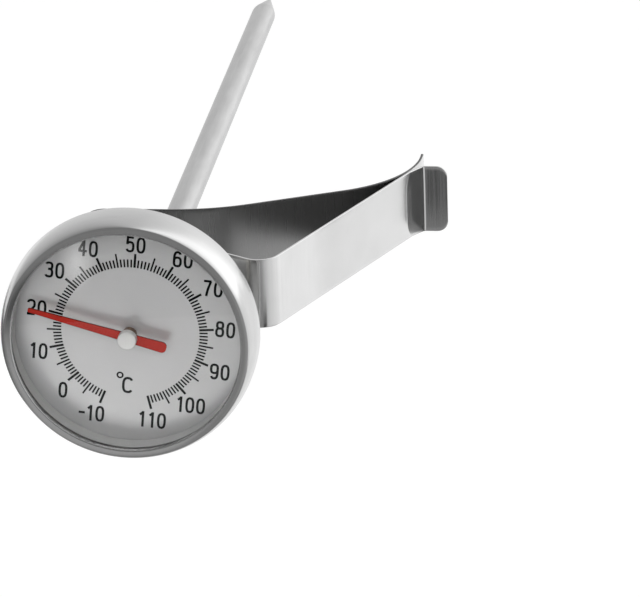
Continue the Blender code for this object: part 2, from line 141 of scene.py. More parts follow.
@dataclass(frozen=True)
class Finish:
    """A surface that was rolled, turned, brushed, printed or painted. Sizes in mm.

    Two noises give it life: a grain, whose cells may be drawn out into lines, and a slow mottle. Both shift
    the colour between its dark and its light tone, and the grain also moves roughness and height. Real brush
    lines and tool marks are a few hundredths of a millimetre apart, so the grain is drawn as coarse as it
    needs to show.
    """

    name: str
    dark: str
    light: str
    metallic: float
    roughness: tuple[float, float]
    grain_mm: tuple[float, float, float]
    mottle_mm: float
    lay: Lay = Lay.PLACE
    mottle_share: float = 0.5
    bump_mm: float = 0.0
    gloss: float = 0.5

    def material(self) -> bpy.types.Material:
        """Build the node material.

        Returns:
            The finished material.
        """
        material, tree, output = blank_tree(self.name)
        low, high = NOISE_SPAN
        place = add(tree, "ShaderNodeTexCoord").outputs[self.lay.value]
        drawn = {"Vector": place, "Scale": [1.0 / (size * MM) for size in self.grain_mm]}
        lines = add(tree, "ShaderNodeMapping", drawn).outputs[0]
        fine = {"Vector": lines, "Scale": 1.0, "Detail": 3.0, "Roughness": 0.6}
        grain = add(tree, "ShaderNodeTexNoise", fine).outputs[0]
        slow = {"Vector": place, "Scale": 1.0 / (self.mottle_mm * MM), "Detail": 2.0}
        mottle = add(tree, "ShaderNodeTexNoise", slow).outputs[0]
        both = {0: self.mottle_share, 2: grain, 3: mottle}
        share = add(tree, "ShaderNodeMix", both, data_type="FLOAT").outputs[0]
        shade = {"Value": share, "From Min": low, "From Max": high}
        tone = add(tree, "ShaderNodeMapRange", shade).outputs[0]
        tones = {0: tone, 6: linear(self.dark), 7: linear(self.light)}
        colour = add(tree, "ShaderNodeMix", tones, data_type="RGBA").outputs[2]
        even, worn = self.roughness
        wear = {"Value": grain, "From Min": low, "From Max": high, "To Min": even, "To Max": worn}
        rough = add(tree, "ShaderNodeMapRange", wear).outputs[0]
        surface = {
            "Base Color": colour,
            "Metallic": self.metallic,
            "Roughness": rough,
            "Specular IOR Level": self.gloss,
        }
        if self.bump_mm:
            height = {"Height": grain, "Distance": self.bump_mm * MM, "Strength": 1.0}
            surface["Normal"] = add(tree, "ShaderNodeBump", height).outputs[0]
        shader = add(tree, "ShaderNodeBsdfPrincipled", surface)
        tree.links.new(shader.outputs[0], output.inputs["Surface"])
        return material


@dataclass(frozen=True)
class ClearGlass:
    """Flat clear window glass, bloomed on its inner side.

    A faint uneven polish breaks up its reflection. Light that leaves the glass passes without a second one.
    """

    name: str
    tint: str
    ior: float
    polish: tuple[float, float]
    smear_mm: float

    def material(self) -> bpy.types.Material:
        """Build the node material.

        Returns:
            The finished material.
        """
        material, tree, output = blank_tree(self.name)
        place = add(tree, "ShaderNodeTexCoord").outputs[Lay.PLACE.value]
        slow = {"Vector": place, "Scale": 1.0 / (self.smear_mm * MM), "Detail": 2.0}
        smear = add(tree, "ShaderNodeTexNoise", slow).outputs[0]
        span = {"Value": smear, "To Min": self.polish[0], "To Max": self.polish[1]}
        rough = add(tree, "ShaderNodeMapRange", span).outputs[0]
        entered = {
            "Base Color": linear(self.tint),
            "Roughness": rough,
            "IOR": self.ior,
            "Transmission Weight": 1.0,
        }
        left = {"Color": linear(self.tint), "Roughness": rough, "IOR": self.ior}
        outer = add(tree, "ShaderNodeBsdfPrincipled", entered).outputs[0]
        inner = add(tree, "ShaderNodeBsdfRefraction", left).outputs[0]
        leaving = add(tree, "ShaderNodeNewGeometry").outputs["Backfacing"]
        mix = add(tree, "ShaderNodeMixShader", {0: leaving, 1: outer, 2: inner})
        tree.links.new(mix.outputs[0], output.inputs["Surface"])
        return material


# Pressed stainless steel, spun bright: fine rings round the head, a soft gleam across them
BEZEL_STEEL = Finish(
    "stainless_spun", "#C8C8C8", "#D6D6D6", metallic=1.0, roughness=(0.18, 0.25),
    grain_mm=(60.0, 0.12, 1.0), mottle_mm=9.0, lay=Lay.FLAT, mottle_share=0.4, bump_mm=0.0004,
)
# Pressed stainless steel with a mill finish, dull and a little cloudy; its grey is painted darker than the
# bezel's: painted shade for the back of the head, as the clip mirrors it
CUP_STEEL_SHADED = Finish(
    "stainless_pressed_shaded", "#9C9C9B", "#B2B2B1", metallic=1.0, roughness=(0.30, 0.42),
    grain_mm=(30.0, 0.2, 1.0), mottle_mm=6.0, lay=Lay.FLAT, bump_mm=0.001,
)
# Drawn stainless tube, satin: broad soft gleam, faint clouds drawn out along its length
PROBE_STEEL = Finish(
    "stainless_drawn", "#B6B6B6", "#D0D0D0", metallic=1.0, roughness=(0.34, 0.40),
    grain_mm=(2.2, 24.0, 1.0), mottle_mm=9.0, lay=Lay.FLAT, mottle_share=0.3, bump_mm=0.0004,
)
# Rolled spring steel strip, lightly brushed across: lines that run from edge to edge
STRIP_STEEL = Finish(
    "spring_steel_rolled", "#D6D6D6", "#E0E0E0", metallic=1.0, roughness=(0.15, 0.21),
    grain_mm=(0.3, 30.0, 1.0), mottle_mm=8.0, lay=Lay.FLAT, bump_mm=0.0004,
)
# The strip's inner side, left as it came from the mill: darker and duller than the outer one
STRIP_MILL = Finish(
    "spring_steel_mill", "#A2A2A2", "#ABABAB", metallic=1.0, roughness=(0.27, 0.29),
    grain_mm=(0.3, 30.0, 1.0), mottle_mm=8.0, lay=Lay.FLAT, mottle_share=0.6,
)
# The strip's sheared edge: dull and dark, a thin line round the strip
STRIP_EDGE = Finish(
    "spring_steel_sheared", "#606060", "#747474", metallic=1.0, roughness=(0.4, 0.5),
    grain_mm=(0.3, 0.3, 0.3), mottle_mm=3.0, lay=Lay.FLAT,
)
# Sheet steel ring painted pale satin grey, a little uneven: it passes light on to the dial's edge
RING_PAINT = Finish(
    "steel_painted_satin", "#C2C2C1", "#CCCCCB", metallic=0.0, roughness=(0.40, 0.52),
    grain_mm=(0.5, 0.5, 0.5), mottle_mm=5.0,
)
# Aluminium dial, etched and lacquered silver: an even metallic grey with a fine sparkle
DIAL_SILVER = Finish(
    "aluminium_silvered", "#B9B9B9", "#C0C0C0", metallic=0.38, roughness=(0.35, 0.41),
    grain_mm=(0.22, 0.22, 0.22), mottle_mm=7.0, mottle_share=0.3,
)
# Screen-printing ink: dense black and dull, thinner in places
PRINT_INK = Finish(
    "ink_screen_printed", "#030303", "#0A0A0A", metallic=0.0, roughness=(0.7, 0.8),
    grain_mm=(0.15, 0.15, 0.15), mottle_mm=2.0, gloss=0.15,
)
# Red lacquer on a stamped aluminium pointer: even, with a soft sheen
RED_LACQUER = Finish(
    "lacquer_red", "#B4281C", "#BE2F23", metallic=0.0, roughness=(0.6, 0.7),
    grain_mm=(0.3, 0.3, 0.3), mottle_mm=3.0, bump_mm=0.0004, gloss=0.15,
)
# The pointer's bevels and edges in a darker red: painted shade along its stamped edges, a thin dark outline
RED_SHADED_EDGE = Finish(
    "lacquer_red_shaded_edge", "#5E1710", "#701E16", metallic=0.0, roughness=(0.6, 0.7),
    grain_mm=(0.3, 0.3, 0.3), mottle_mm=3.0, gloss=0.15,
)
# Turned aluminium cap, satin anodised: pale grey with a soft sheen
ANODISED = Finish(
    "aluminium_anodised", "#CFCFCD", "#DADAD8", metallic=0.35, roughness=(0.36, 0.46),
    grain_mm=(0.2, 0.2, 0.2), mottle_mm=2.0, mottle_share=0.4, bump_mm=0.0004,
)
# Steel, turned and nickel plated: pale warm grey with small tool marks
NICKEL = Finish(
    "nickel_plated", "#C8C6C1", "#DBD9D4", metallic=1.0, roughness=(0.22, 0.34),
    grain_mm=(0.2, 0.2, 0.2), mottle_mm=2.0, mottle_share=0.4, bump_mm=0.0006,
)
# Free-cutting brass, turned: yellow with small tool marks
BRASS = Finish(
    "brass_turned", "#B5914A", "#CFAE66", metallic=1.0, roughness=(0.28, 0.4),
    grain_mm=(0.25, 0.25, 0.25), mottle_mm=2.0, mottle_share=0.4, bump_mm=0.0006,
)
# The same brass, painted dark and warm: painted shade for the collet in the shadow under the pointer's cap
BRASS_SHADED = Finish(
    "brass_shaded", "#5E4029", "#745236", metallic=1.0, roughness=(0.3, 0.42),
    grain_mm=(0.25, 0.25, 0.25), mottle_mm=2.0,
)
# Rolled bimetal: straw-brown steel
BIMETAL = Finish(
    "bimetal_rolled", "#8F8270", "#A89A86", metallic=1.0, roughness=(0.3, 0.42),
    grain_mm=(0.2, 0.2, 0.2), mottle_mm=2.0,
)
# Drawn steel wire and spring washer: bright and grey
DRAWN_STEEL = Finish(
    "steel_drawn_bright", "#B0B0AF", "#C9C9C8", metallic=1.0, roughness=(0.22, 0.34),
    grain_mm=(0.2, 0.2, 0.2), mottle_mm=2.0,
)
# Moulded grey rubber seal: matt
RUBBER = Finish(
    "rubber_moulded", "#5C5C5B", "#686867", metallic=0.0, roughness=(0.65, 0.8),
    grain_mm=(0.3, 0.3, 0.3), mottle_mm=3.0,
)
# Clear float glass: sharp reflections, very faintly uneven
WINDOW = ClearGlass("glass_clear", "#FCFCFC", ior=1.5, polish=(0.0, 0.02), smear_mm=12.0)


@lru_cache(maxsize=None)
def material_of(finish: Finish | ClearGlass) -> bpy.types.Material:
    """The one material of a finish, built the first time it is asked for."""
    return finish.material()


# Meshes


@dataclass
class Shell:
    """Points with their faces, flat coordinates in metres at every face corner, and the side of each face."""

    points: Array
    faces: list[list[int]]
    flat: Array
    sides: Array | None = None

    @classmethod
    def grid(
        cls,
        points: Array,
        flat_u: Array,
        flat_v: Array,
        *,
        round_u: bool = False,
        round_v: bool = False,
        caps: bool = False,
    ) -> Shell:
        """Cover a grid of points with four-sided faces.

        Args:
            points: points, shaped (rows, columns, 3).
            flat_u: flat coordinate of each row line, one more than the rows where they close on themselves.
            flat_v: flat coordinate of each column line, in the same way.
            round_u: whether the last row joins the first.
            round_v: whether the last column joins the first.
            caps: whether the first and last row are closed by one face each.

        Returns:
            The shell.
        """
        rows, columns = points.shape[:2]
        steps = np.arange(rows - (not round_u)), np.arange(columns - (not round_v))
        u, v = np.meshgrid(*steps, indexing="ij")
        corner_u = np.stack([u, u + 1, u + 1, u], -1).reshape(-1, 4)
        corner_v = np.stack([v, v, v + 1, v + 1], -1).reshape(-1, 4)
        faces = ((corner_u % rows) * columns + corner_v % columns).tolist()
        flat = np.stack([flat_u[corner_u], flat_v[corner_v]], -1).reshape(-1, 2)
        if caps:
            around = np.arange(columns)
            faces += [around[::-1].tolist(), (around + (rows - 1) * columns).tolist()]
            first = np.stack([np.full(columns, flat_u[0]), flat_v[:columns]], -1)
            last = np.stack([np.full(columns, flat_u[rows - 1]), flat_v[:columns]], -1)
            flat = np.concatenate([flat, first[::-1], last])
        return cls(points.reshape(-1, 3), faces, flat)

    @classmethod
    def joined(cls, shells: list[Shell]) -> Shell:
        """Put several shells into one, side by side.

        Args:
            shells: the shells to gather.

        Returns:
            One shell with all their points and faces.
        """
        starts = np.cumsum([0] + [len(shell.points) for shell in shells]).tolist()
        faces = []
        for shell, start in zip(shells, starts):
            faces += [[index + start for index in face] for face in shell.faces]
        points = np.concatenate([shell.points for shell in shells])
        return cls(points, faces, np.concatenate([shell.flat for shell in shells]))

    def piece(self, name: str, *finishes: Finish, crease: float = CREASE) -> bpy.types.Object:
        """Make the shell an object of the scene, closed at its poles, facing outwards and shaded smooth.

        Args:
            name: the piece's name.
            finishes: what its faces are dressed in, by the number of their side.
            crease: angle in degrees above which an edge stays crisp.

        Returns:
            The new object, at the origin.
        """
        mesh = bpy.data.meshes.new(name)
        mesh.from_pydata(self.points.tolist(), [], self.faces)
        layer = mesh.uv_layers.new(name="flat")
        layer.data.foreach_set("uv", self.flat.astype(np.float32).ravel())
        if self.sides is not None:
            mesh.polygons.foreach_set("material_index", self.sides.astype(np.int32))
        edit = bmesh.new()
        edit.from_mesh(mesh)
        bmesh.ops.remove_doubles(edit, verts=edit.verts, dist=MERGE)
        bmesh.ops.recalc_face_normals(edit, faces=edit.faces)
        edit.to_mesh(mesh)
        edit.free()
        mesh.shade_smooth()
        mesh.set_sharp_from_angle(angle=math.radians(crease))
        for finish in finishes:
            mesh.materials.append(material_of(finish))
        return placed(name, mesh)


def placed(name: str, data: bpy.types.ID) -> bpy.types.Object:
    """Put a mesh, a lamp or a camera into the scene.

    Args:
        name: name of the new object.
        data: what it holds.

    Returns:
        The new object, at the origin.
    """
    item = bpy.data.objects.new(name, data)
    bpy.context.scene.collection.objects.link(item)
    return item


def carried(piece: bpy.types.Object, body: str, slot: str, *nodes: str) -> bpy.types.Object:
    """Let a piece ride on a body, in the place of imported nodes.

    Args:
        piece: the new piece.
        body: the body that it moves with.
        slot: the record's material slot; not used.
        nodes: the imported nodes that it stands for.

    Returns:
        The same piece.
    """
    if nodes:
        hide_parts(*nodes)
    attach(piece, body)
    return piece


def dressed(node: str, finish: Finish | ClearGlass) -> bpy.types.Object:
    """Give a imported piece, which keeps its shape, a finish.

    Args:
        node: the piece's name.
        finish: what it is dressed in.

    Returns:
        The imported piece.
    """
    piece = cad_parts[node]
    piece.data.materials.clear()
    piece.data.materials.append(material_of(finish))
    return piece


def lengths(line: Array) -> Array:
    """Distance travelled along a line of points, starting at zero."""
    return np.concatenate([[0.0], np.cumsum(np.linalg.norm(np.diff(line, axis=0), axis=1))])


def arc(centre: tuple[float, float], radius: float, start: float, end: float, count: int) -> Array:
    """Points on a circle's arc: centre plus radius times (cosine, sine) of an angle in even steps.

    Args:
        centre: the circle's centre.
        radius: its radius.
        start: first angle in degrees.
        end: last angle in degrees.
        count: number of points.

    Returns:
        Points, shaped (count, 2).
    """
    angle = np.radians(np.linspace(start, end, count))
    return np.stack([centre[0] + radius * np.cos(angle), centre[1] + radius * np.sin(angle)], -1)


def arcs(start: Array, angle: float, bends: tuple[tuple[float, float], ...], count: int = 9) -> Array:
    """Arcs that run smoothly into each other, each centred a radius behind the last point along its normal.

    Args:
        start: first point, which is not repeated in the result.
        angle: direction of the normal there, in degrees.
        bends: radius and last normal angle of each arc.
        count: points on each arc.

    Returns:
        Points, shaped (n, 2).
    """
    pieces = []
    for radius, end in bends:
        turn = math.radians(angle)
        centre = (start[0] - radius * math.cos(turn), start[1] - radius * math.sin(turn))
        pieces.append(arc(centre, radius, angle, end, count + 1)[1:])
        start, angle = pieces[-1][-1], end
    return np.concatenate(pieces)


def rounded(corners: Array, radii: list[float], run: int, bend: int) -> Array:
    """A line through corners, with straight runs and a circle's arc at each inner corner.

    Each arc starts where the incoming run is radius times tan(half the turn) short of the corner. Points on a
    run are close at its ends, half of one minus the cosine of an even angle, so shading turns on the arcs
    only. Runs and arcs have fixed numbers of points, so two lines with as many corners match point for point.

    Args:
        corners: corner points, shaped (n, 2).
        radii: radius of the arc at each inner corner.
        run: points on a straight run.
        bend: points on an arc.

    Returns:
        Points, shaped (m, 2).
    """
    pieces = []
    here = corners[0]
    eased = 0.5 - 0.5 * np.cos(np.linspace(0.0, math.pi, run))[:, None]
    for before, corner, after, radius in zip(corners, corners[1:], corners[2:], radii):
        into = (corner - before) / np.linalg.norm(corner - before)
        out = (after - corner) / np.linalg.norm(after - corner)
        turn = math.atan2(into[0] * out[1] - into[1] * out[0], float(into @ out))
        start = corner - into * radius * math.tan(abs(turn) / 2.0)
        side = np.array([-into[1], into[0]]) * math.copysign(1.0, turn)
        angle = np.linspace(0.0, abs(turn), bend)[:, None]
        curve = start + into * radius * np.sin(angle) + side * radius * (1.0 - np.cos(angle))
        pieces += [here + (start - here) * eased[:-1], curve[:-1]]
        here = curve[-1]
    pieces.append(here + (corners[-1] - here) * eased)
    return np.concatenate(pieces)


def narrowed(half: Array, gone: Array, radius: float) -> Array:
    """Half widths near a rounded end: they follow a circle of the radius at each of its two corners.

    Each is less by the radius minus the root of (radius squared minus the square of (radius minus distance)).

    Args:
        half: half width at each point of a bar.
        gone: distance of each point from the end.
        radius: radius of the end's two corners.

    Returns:
        The half widths with the corners taken off.
    """
    short = np.clip(radius - gone, 0.0, radius)
    return half - radius + np.sqrt(np.clip(radius**2 - short**2, 0.0, None))


@dataclass(frozen=True)
class Axis:
    """The stem's axis. It runs along world Y, and heights grow out of the dial's face, towards -Y."""

    x: float
    dial_y: float

    @classmethod
    def from_frame(cls) -> Axis:
        """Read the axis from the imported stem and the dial's front face."""
        low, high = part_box("stem_tube")
        return cls((low.x + high.x) / 2.0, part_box("dial_plate")[0].y)

    def flat(self, right: Array, up: Array, height: Array) -> Array:
        """World points for places right of and above the axis and in front of the dial, in mm."""
        right, up, height = np.broadcast_arrays(right, up, height)
        return np.stack([self.x + right * MM, self.dial_y - height * MM, up * MM], -1)

    def place(self, radius: Array, angle: Array, height: Array) -> Array:
        """World points for a radius in mm, a clockwise angle from 12 o'clock and a height in mm."""
        return self.flat(radius * np.sin(angle), radius * np.cos(angle), height)

    def spun(self, right: Array, up: Array, height: Array, turn: float) -> Array:
        """World points for places on a disc that stands turned clockwise: right and up turn with it."""
        cos, sin = math.cos(turn), math.sin(turn)
        return self.flat(right * cos + up * sin, up * cos - right * sin, height)

    def turned(self, profile: Array, sides: int, loop: bool) -> Shell:
        """Turn a profile about the axis: the same radius and height at every angle of a full turn.

        Args:
            profile: (radius, height) points in mm.
            sides: number of steps round the axis.
            loop: whether the profile closes on itself.

        Returns:
            The turned shell.
        """
        angle = np.linspace(0.0, TURN, sides, endpoint=False)[:, None]
        points = self.place(profile[None, :, 0], angle, profile[None, :, 1])
        around = np.linspace(0.0, TURN, sides + 1) * float(profile[:, 0].max()) * MM
        closed = np.concatenate([profile, profile[:1]]) if loop else profile
        return Shell.grid(points, around, lengths(closed) * MM, round_u=True, round_v=loop)


def report(piece: bpy.types.Object) -> None:
    """Write one line about a finished piece."""
    LOG.info("%s: %d faces", piece.name, len(piece.data.polygons))


# Head


@dataclass
class Head:
    """Bezel, window, spacer ring, seal, dial and cup, turned about the stem's axis. Sizes in mm.

    The bezel's flange is a row of arcs, each with its radius and its last normal angle in degrees.
    """

    axis: Axis
    sides: int = 224
    side_points: int = 20
    foot_points: int = 7
    corner_points: int = 12
    disc_points: int = 12
    bezel_r: float = 22.5
    shoulder_r: float = 21.35
    shoulder_h: float = 5.65
    bulge_h: float = 6.1
    flange: tuple[tuple[float, float], ...] = ((0.2, 74.0), (4.7, 87.0), (0.25, 180.0))
    lip_under: float = 5.2
    pocket_r: float = 20.95
    skirt: float = 1.5
    skirt_edge: float = 0.4
    disc_r: float = 20.45
    ring_bore_r: float = 20.2
    ring_foot: float = 0.2
    ring_top: float = 3.1
    seal_bore_r: float = 20.25
    seal_foot: float = 3.3
    seal_top: float = 3.9
    edge_break: float = 0.05
    dial_t: float = 0.5
    dial_hole_r: float = 1.0
    cup_r: float = 20.85
    cup_wall: float = 0.3
    cup_depth: float = 6.0
    cup_corner_r: float = 2.5
    cup_ledge: float = 0.8
    cup_seat: float = 0.2
    cup_top: float = 5.0
    cup_hole_r: float = 3.3

    def bezel_profile(self) -> Array:
        """Side, flange, rolled lip and pocket of the pressed ring.

        The side is part of an ellipse that bulges from the shoulder to the widest radius. A tight arc turns
        it into the flange, a wide arc that falls a little outwards, and a small arc rolls the lip in.

        Returns:
            (radius, height) points of the closed profile.
        """
        rise = math.asin(self.shoulder_h / self.bulge_h)
        depth = (self.bezel_r - self.shoulder_r) / (1.0 - math.cos(rise))
        angle = np.linspace(0.0, rise, self.side_points)
        side = np.stack([self.bezel_r - depth * (1.0 - np.cos(angle)), self.bulge_h * np.sin(angle)], -1)
        normal = math.degrees(math.atan2(depth * math.sin(rise), self.bulge_h * math.cos(rise)))
        front = arcs(side[-1], normal, self.flange)
        edge, under, pocket = self.skirt_edge, self.lip_under, self.pocket_r
        foot = arc((self.bezel_r - edge, edge - self.skirt), edge, -90.0, 0.0, self.foot_points)
        inner = np.array([[front[-1, 0], under], [pocket, under], [pocket, -self.skirt]])
        return np.concatenate([side, front, inner, foot])

    def cup_profile(self) -> Array:
        """Wall, ledge and rounded back of the pressed cup, outside and then inside.

        Returns:
            (radius, height) points of the closed profile.
        """
        wall, ledge = self.cup_wall, -self.dial_t - self.cup_seat
        back_r, back = self.cup_r - self.cup_ledge, -self.cup_depth
        middle = (back_r - self.cup_corner_r, self.cup_corner_r - self.cup_depth)
        outside = arc(middle, self.cup_corner_r, 0.0, -90.0, self.corner_points)
        inside = arc(middle, self.cup_corner_r - wall, -90.0, 0.0, self.corner_points)
        skin = [[self.cup_r, self.cup_top], [self.cup_r, ledge - wall], [back_r, ledge - wall]]
        hole = [[self.cup_hole_r, back], [self.cup_hole_r, back + wall]]
        lining = [[back_r - wall, ledge], [self.cup_r - wall, ledge], [self.cup_r - wall, self.cup_top]]
        return np.concatenate([skin, outside, hole, inside, lining])

    def dial_profile(self) -> Array:
        """Section of the flat dial disc with its hole.

        Returns:
            (radius, height) points of the closed profile.
        """
        radii = np.linspace(self.dial_hole_r, self.disc_r, self.disc_points)
        front = np.stack([radii, np.zeros_like(radii)], -1)
        back = np.stack([radii[::-1], np.full_like(radii, -self.dial_t)], -1)
        return np.concatenate([front, back])

    def ring_profile(self, bore: float, foot: float, top: float) -> Array:
        """Section of a plain ring as wide as the dial, with its edges broken.

        Args:
            bore: inner radius.
            foot: height of its lower face.
            top: height of its upper face.

        Returns:
            (radius, height) points of the closed profile.
        """
        outer, cut = self.disc_r, self.edge_break
        upper = [[outer, foot + cut], [outer, top - cut], [outer - cut, top], [bore + cut, top]]
        lower = [[bore, top - cut], [bore, foot + cut], [bore + cut, foot], [outer - cut, foot]]
        return np.array(upper + lower)

    def build(self) -> list[bpy.types.Object]:
        """Make the head's pieces, dress them and put them on the case.

        Returns:
            The pieces.
        """
        spacer = self.ring_profile(self.ring_bore_r, self.ring_foot, self.ring_top)
        seal = self.ring_profile(self.seal_bore_r, self.seal_foot, self.seal_top)
        plan = [
            ("bezel", self.bezel_profile(), BEZEL_STEEL, "polished_steel", "bezel_ring"),
            # the cup's darker grey is painted shade for the back of the head
            ("cup", self.cup_profile(), CUP_STEEL_SHADED, "satin_steel", "case_cup"),
            ("dial", self.dial_profile(), DIAL_SILVER, "dial", "dial_plate"),
            ("spacer", spacer, RING_PAINT, "grey_steel", "dial_ring"),
            ("seal", seal, RUBBER, "rubber", "lens_gasket"),
        ]
        pieces = []
        for name, profile, finish, slot, node in plan:
            piece = self.axis.turned(profile, self.sides, True).piece(name, finish)
            pieces.append(carried(piece, "case", slot, node))
        lens = dressed("lens", WINDOW)
        lens.visible_shadow = False
        return [*pieces, lens]


# Print


@dataclass(frozen=True)
class Scale:
    """The scale in degrees Celsius, and how far the head stands turned against the clip, in radians."""

    lowest: int = -10
    highest: int = 110
    middle: float = 50.0
    rest: float = 20.3
    arc_per_degree: float = math.radians(2.7)
    head_turn: float = math.radians(6.3)

    def angle(self, degrees: Array | float) -> Array | float:
        """Clockwise angle of a reading from the dial's own 12 o'clock."""
        return (degrees - self.middle) * self.arc_per_degree


@dataclass
class DialPrint:
    """Scale, numerals and unit printed on the dial. Sizes in mm, along the dial's own right and up."""

    axis: Axis
    scale: Scale
    ink: tuple[float, float] = (0.004, 0.022)
    tick_in: float = 12.1
    tick_long: float = 14.65
    tick_short: float = 13.55
    thick: float = 0.42
    thin: float = 0.30
    digit: tuple[float, float] = (1.575, 2.99)
    pitch: float = 1.89
    pitch_one: float = 1.70
    pitch_minus: float = 1.10
    stroke: float = 0.43
    squareness: float = 2.7
    numerals: tuple[tuple[str, float, float], ...] = (
        ("-10", -6.09, -16.02),
        ("0", -11.16, -12.28),
        ("10", -15.94, -5.43),
        ("20", -16.6, 2.6),
        ("30", -13.86, 9.95),
        ("40", -8.25, 14.65),
        ("50", -0.06, 16.33),
        ("60", 8.27, 14.59),
        ("70", 13.8, 9.9),
        ("80", 16.46, 2.56),
        ("90", 16.03, -5.47),
        ("100", 11.28, -12.36),
        ("110", 4.71, -16.0),
    )
    letter: tuple[float, float] = (0.17, -9.94)
    letter_half: tuple[float, float] = (0.79, 1.31)
    letter_stroke: float = 0.44
    letter_mouth: float = 38.0
    ring: tuple[float, float] = (-1.3, -8.2)
    ring_r: float = 0.48
    ring_stroke: float = 0.30

    def on_dial(self, right: Array, up: Array, height: Array) -> Array:
        """World points for places on the dial, which stands turned with the head."""
        return self.axis.spun(right, up, height, self.scale.head_turn)

    def oval(self, wide: float, low: float, high: float, start: float, end: float, count: int = 40) -> Array:
        """A squared oval, |x/a|^n + |y/b|^n = 1, drawn from one angle to another.

        Args:
            wide: half width a.
            low: lowest height.
            high: highest height.
            start: first angle in degrees, anticlockwise from the right.
            end: last angle in degrees.
            count: number of points.

        Returns:
            Points, shaped (count, 2).
        """
        angle = np.radians(np.linspace(start, end, count))
        power = 2.0 / self.squareness
        cos, sin = np.cos(angle), np.sin(angle)
        right = wide * np.sign(cos) * np.abs(cos) ** power
        up = (high + low) / 2.0 + (high - low) / 2.0 * np.sign(sin) * np.abs(sin) ** power
        return np.stack([right, up], -1)

    def half(self) -> Array:
        """Half the width and half the height of a digit, to the middle of its strokes."""
        return (np.array(self.digit) - self.stroke) / 2.0

    def line(self, *points: tuple[float, float]) -> Array:
        """A stroke through points that are given in half widths and half heights of a digit."""
        return np.array(points, float) * self.half()

    def glyph(self, sign: str) -> list[Array]:
        """Middle lines of one sign's strokes, about its own centre.

        Args:
            sign: a digit or a minus sign.

        Returns:
            One line of points for each stroke.
        """
        a, b = self.half()
        line, oval, waist = self.line, self.oval, 0.1 * b
        strokes = {
            "0": [oval(a, -b, b, 0.0, 360.0, 72)],
            "1": [line((0.35, 1.15), (0.35, -1.17)), line((0.35, 1.0), (-0.6, 0.6))],
            "2": [
                np.concatenate([oval(a, -0.1 * b, b, 165.0, -28.0), line((-0.95, -0.95))]),
                line((-1.2, -1.0), (1.2, -1.0)),
            ],
            "3": [
                oval(0.95 * a, waist, b, 155.0, -88.0),
                oval(a, -b, waist, 88.0, -155.0),
                line((-0.3, 0.1), (0.2, 0.1)),
            ],
            "4": [
                line((0.42, 1.1), (-1.0, -0.36)),
                line((-1.2, -0.42), (1.35, -0.42)),
                line((0.42, 1.17), (0.42, -1.17)),
            ],
            "5": [
                line((-0.92, 1.0), (1.0, 1.0)),
                line((-0.75, 1.1), (-0.85, -0.02)),
                oval(a, -b, 0.3 * b, 150.0, -155.0),
            ],
            "6": [oval(a, -b, b, 38.0, 200.0), oval(a, -b, 0.22 * b, 0.0, 360.0, 60)],
            "7": [line((-1.2, 1.0), (1.1, 1.0)), line((0.92, 1.0), (0.1, -0.2), (-0.25, -1.17))],
            "8": [oval(0.88 * a, waist, b, 0.0, 360.0, 60), oval(a, -b, waist, 0.0, 360.0, 60)],
            "9": [oval(a, -b, b, 218.0, 380.0), oval(a, -0.22 * b, b, 0.0, 360.0, 60)],
            "-": [line((-0.95, -0.05), (0.95, -0.05))],
        }
        return strokes[sign]

    def ribbon(self, line: Array, width: float) -> Shell:
        """A thin bar of ink along a line: half the width to each side, with a flat top.

        Args:
            line: places on the dial, shaped (n, 2); a closed line repeats its first point.
            width: width of the stroke.

        Returns:
            The bar's shell.
        """
        closed = bool(np.allclose(line[0], line[-1]))
        if closed:
            line = line[:-1]
            ahead = np.roll(line, -1, 0) - np.roll(line, 1, 0)
        else:
            ahead = np.gradient(line, axis=0)
        ahead = ahead / np.linalg.norm(ahead, axis=1, keepdims=True)
        side = np.stack([-ahead[:, 1], ahead[:, 0]], -1) * width / 2.0
        low, high = self.ink
        left, right = line + side, line - side
        plan = np.stack([left, right, right, left], 1)
        points = self.on_dial(plan[..., 0], plan[..., 1], np.array([high, high, low, low]))
        along = np.arange(len(line) + 1) * width * MM
        across = np.arange(plan.shape[1] + 1) * width * MM
        return Shell.grid(points, along, across, round_u=closed, round_v=True, caps=not closed)

    def ticks(self) -> Shell:
        """One bar for each degree of the scale, thick at the tens and long at the fives.

        Each bar is one block of eight corners, stretched to its length and width and turned to its angle.

        Returns:
            All bars as one shell.
        """
        degrees = np.arange(self.scale.lowest, self.scale.highest + 1)
        width = np.where(degrees % 10 == 0, self.thick, self.thin)
        reach = np.where(degrees % 5 == 0, self.tick_long, self.tick_short)
        angle = self.scale.angle(degrees)
        cos, sin = np.cos(angle)[:, None], np.sin(angle)[:, None]
        edge = np.array([-0.5, 0.5]) * width[:, None]
        bars = []
        for radius in (np.full(len(degrees), self.tick_in)[:, None], reach[:, None]):
            right, up = radius * sin + edge * cos, radius * cos - edge * sin
            bars += [self.on_dial(right, up, np.array(height)) for height in self.ink]
        points = np.stack(bars, 1).reshape(-1, 3)
        block = np.array([[0, 1, 3, 2], [4, 6, 7, 5], [0, 4, 5, 1], [2, 3, 7, 6], [0, 2, 6, 4], [1, 5, 7, 3]])
        faces = (block + 8 * np.arange(len(degrees))[:, None, None]).reshape(-1, 4)
        return Shell(points, faces.tolist(), points[faces.ravel()][:, (0, 2)])

    def words(self) -> Shell:
        """All numerals, each sign in its place: two signs of a number stand the mean of their pitches apart.

        Returns:
            All signs as one shell.
        """
        narrow = {"1": self.pitch_one, "-": self.pitch_minus}
        shells = []
        for label, right, up in self.numerals:
            room = np.array([narrow.get(sign, self.pitch) for sign in label])
            places = np.cumsum(room) - room / 2.0
            places = places - places.mean()
            for sign, place in zip(label, places):
                shells += [self.ribbon(line + (right + place, up), self.stroke) for line in self.glyph(sign)]
        return Shell.joined(shells)

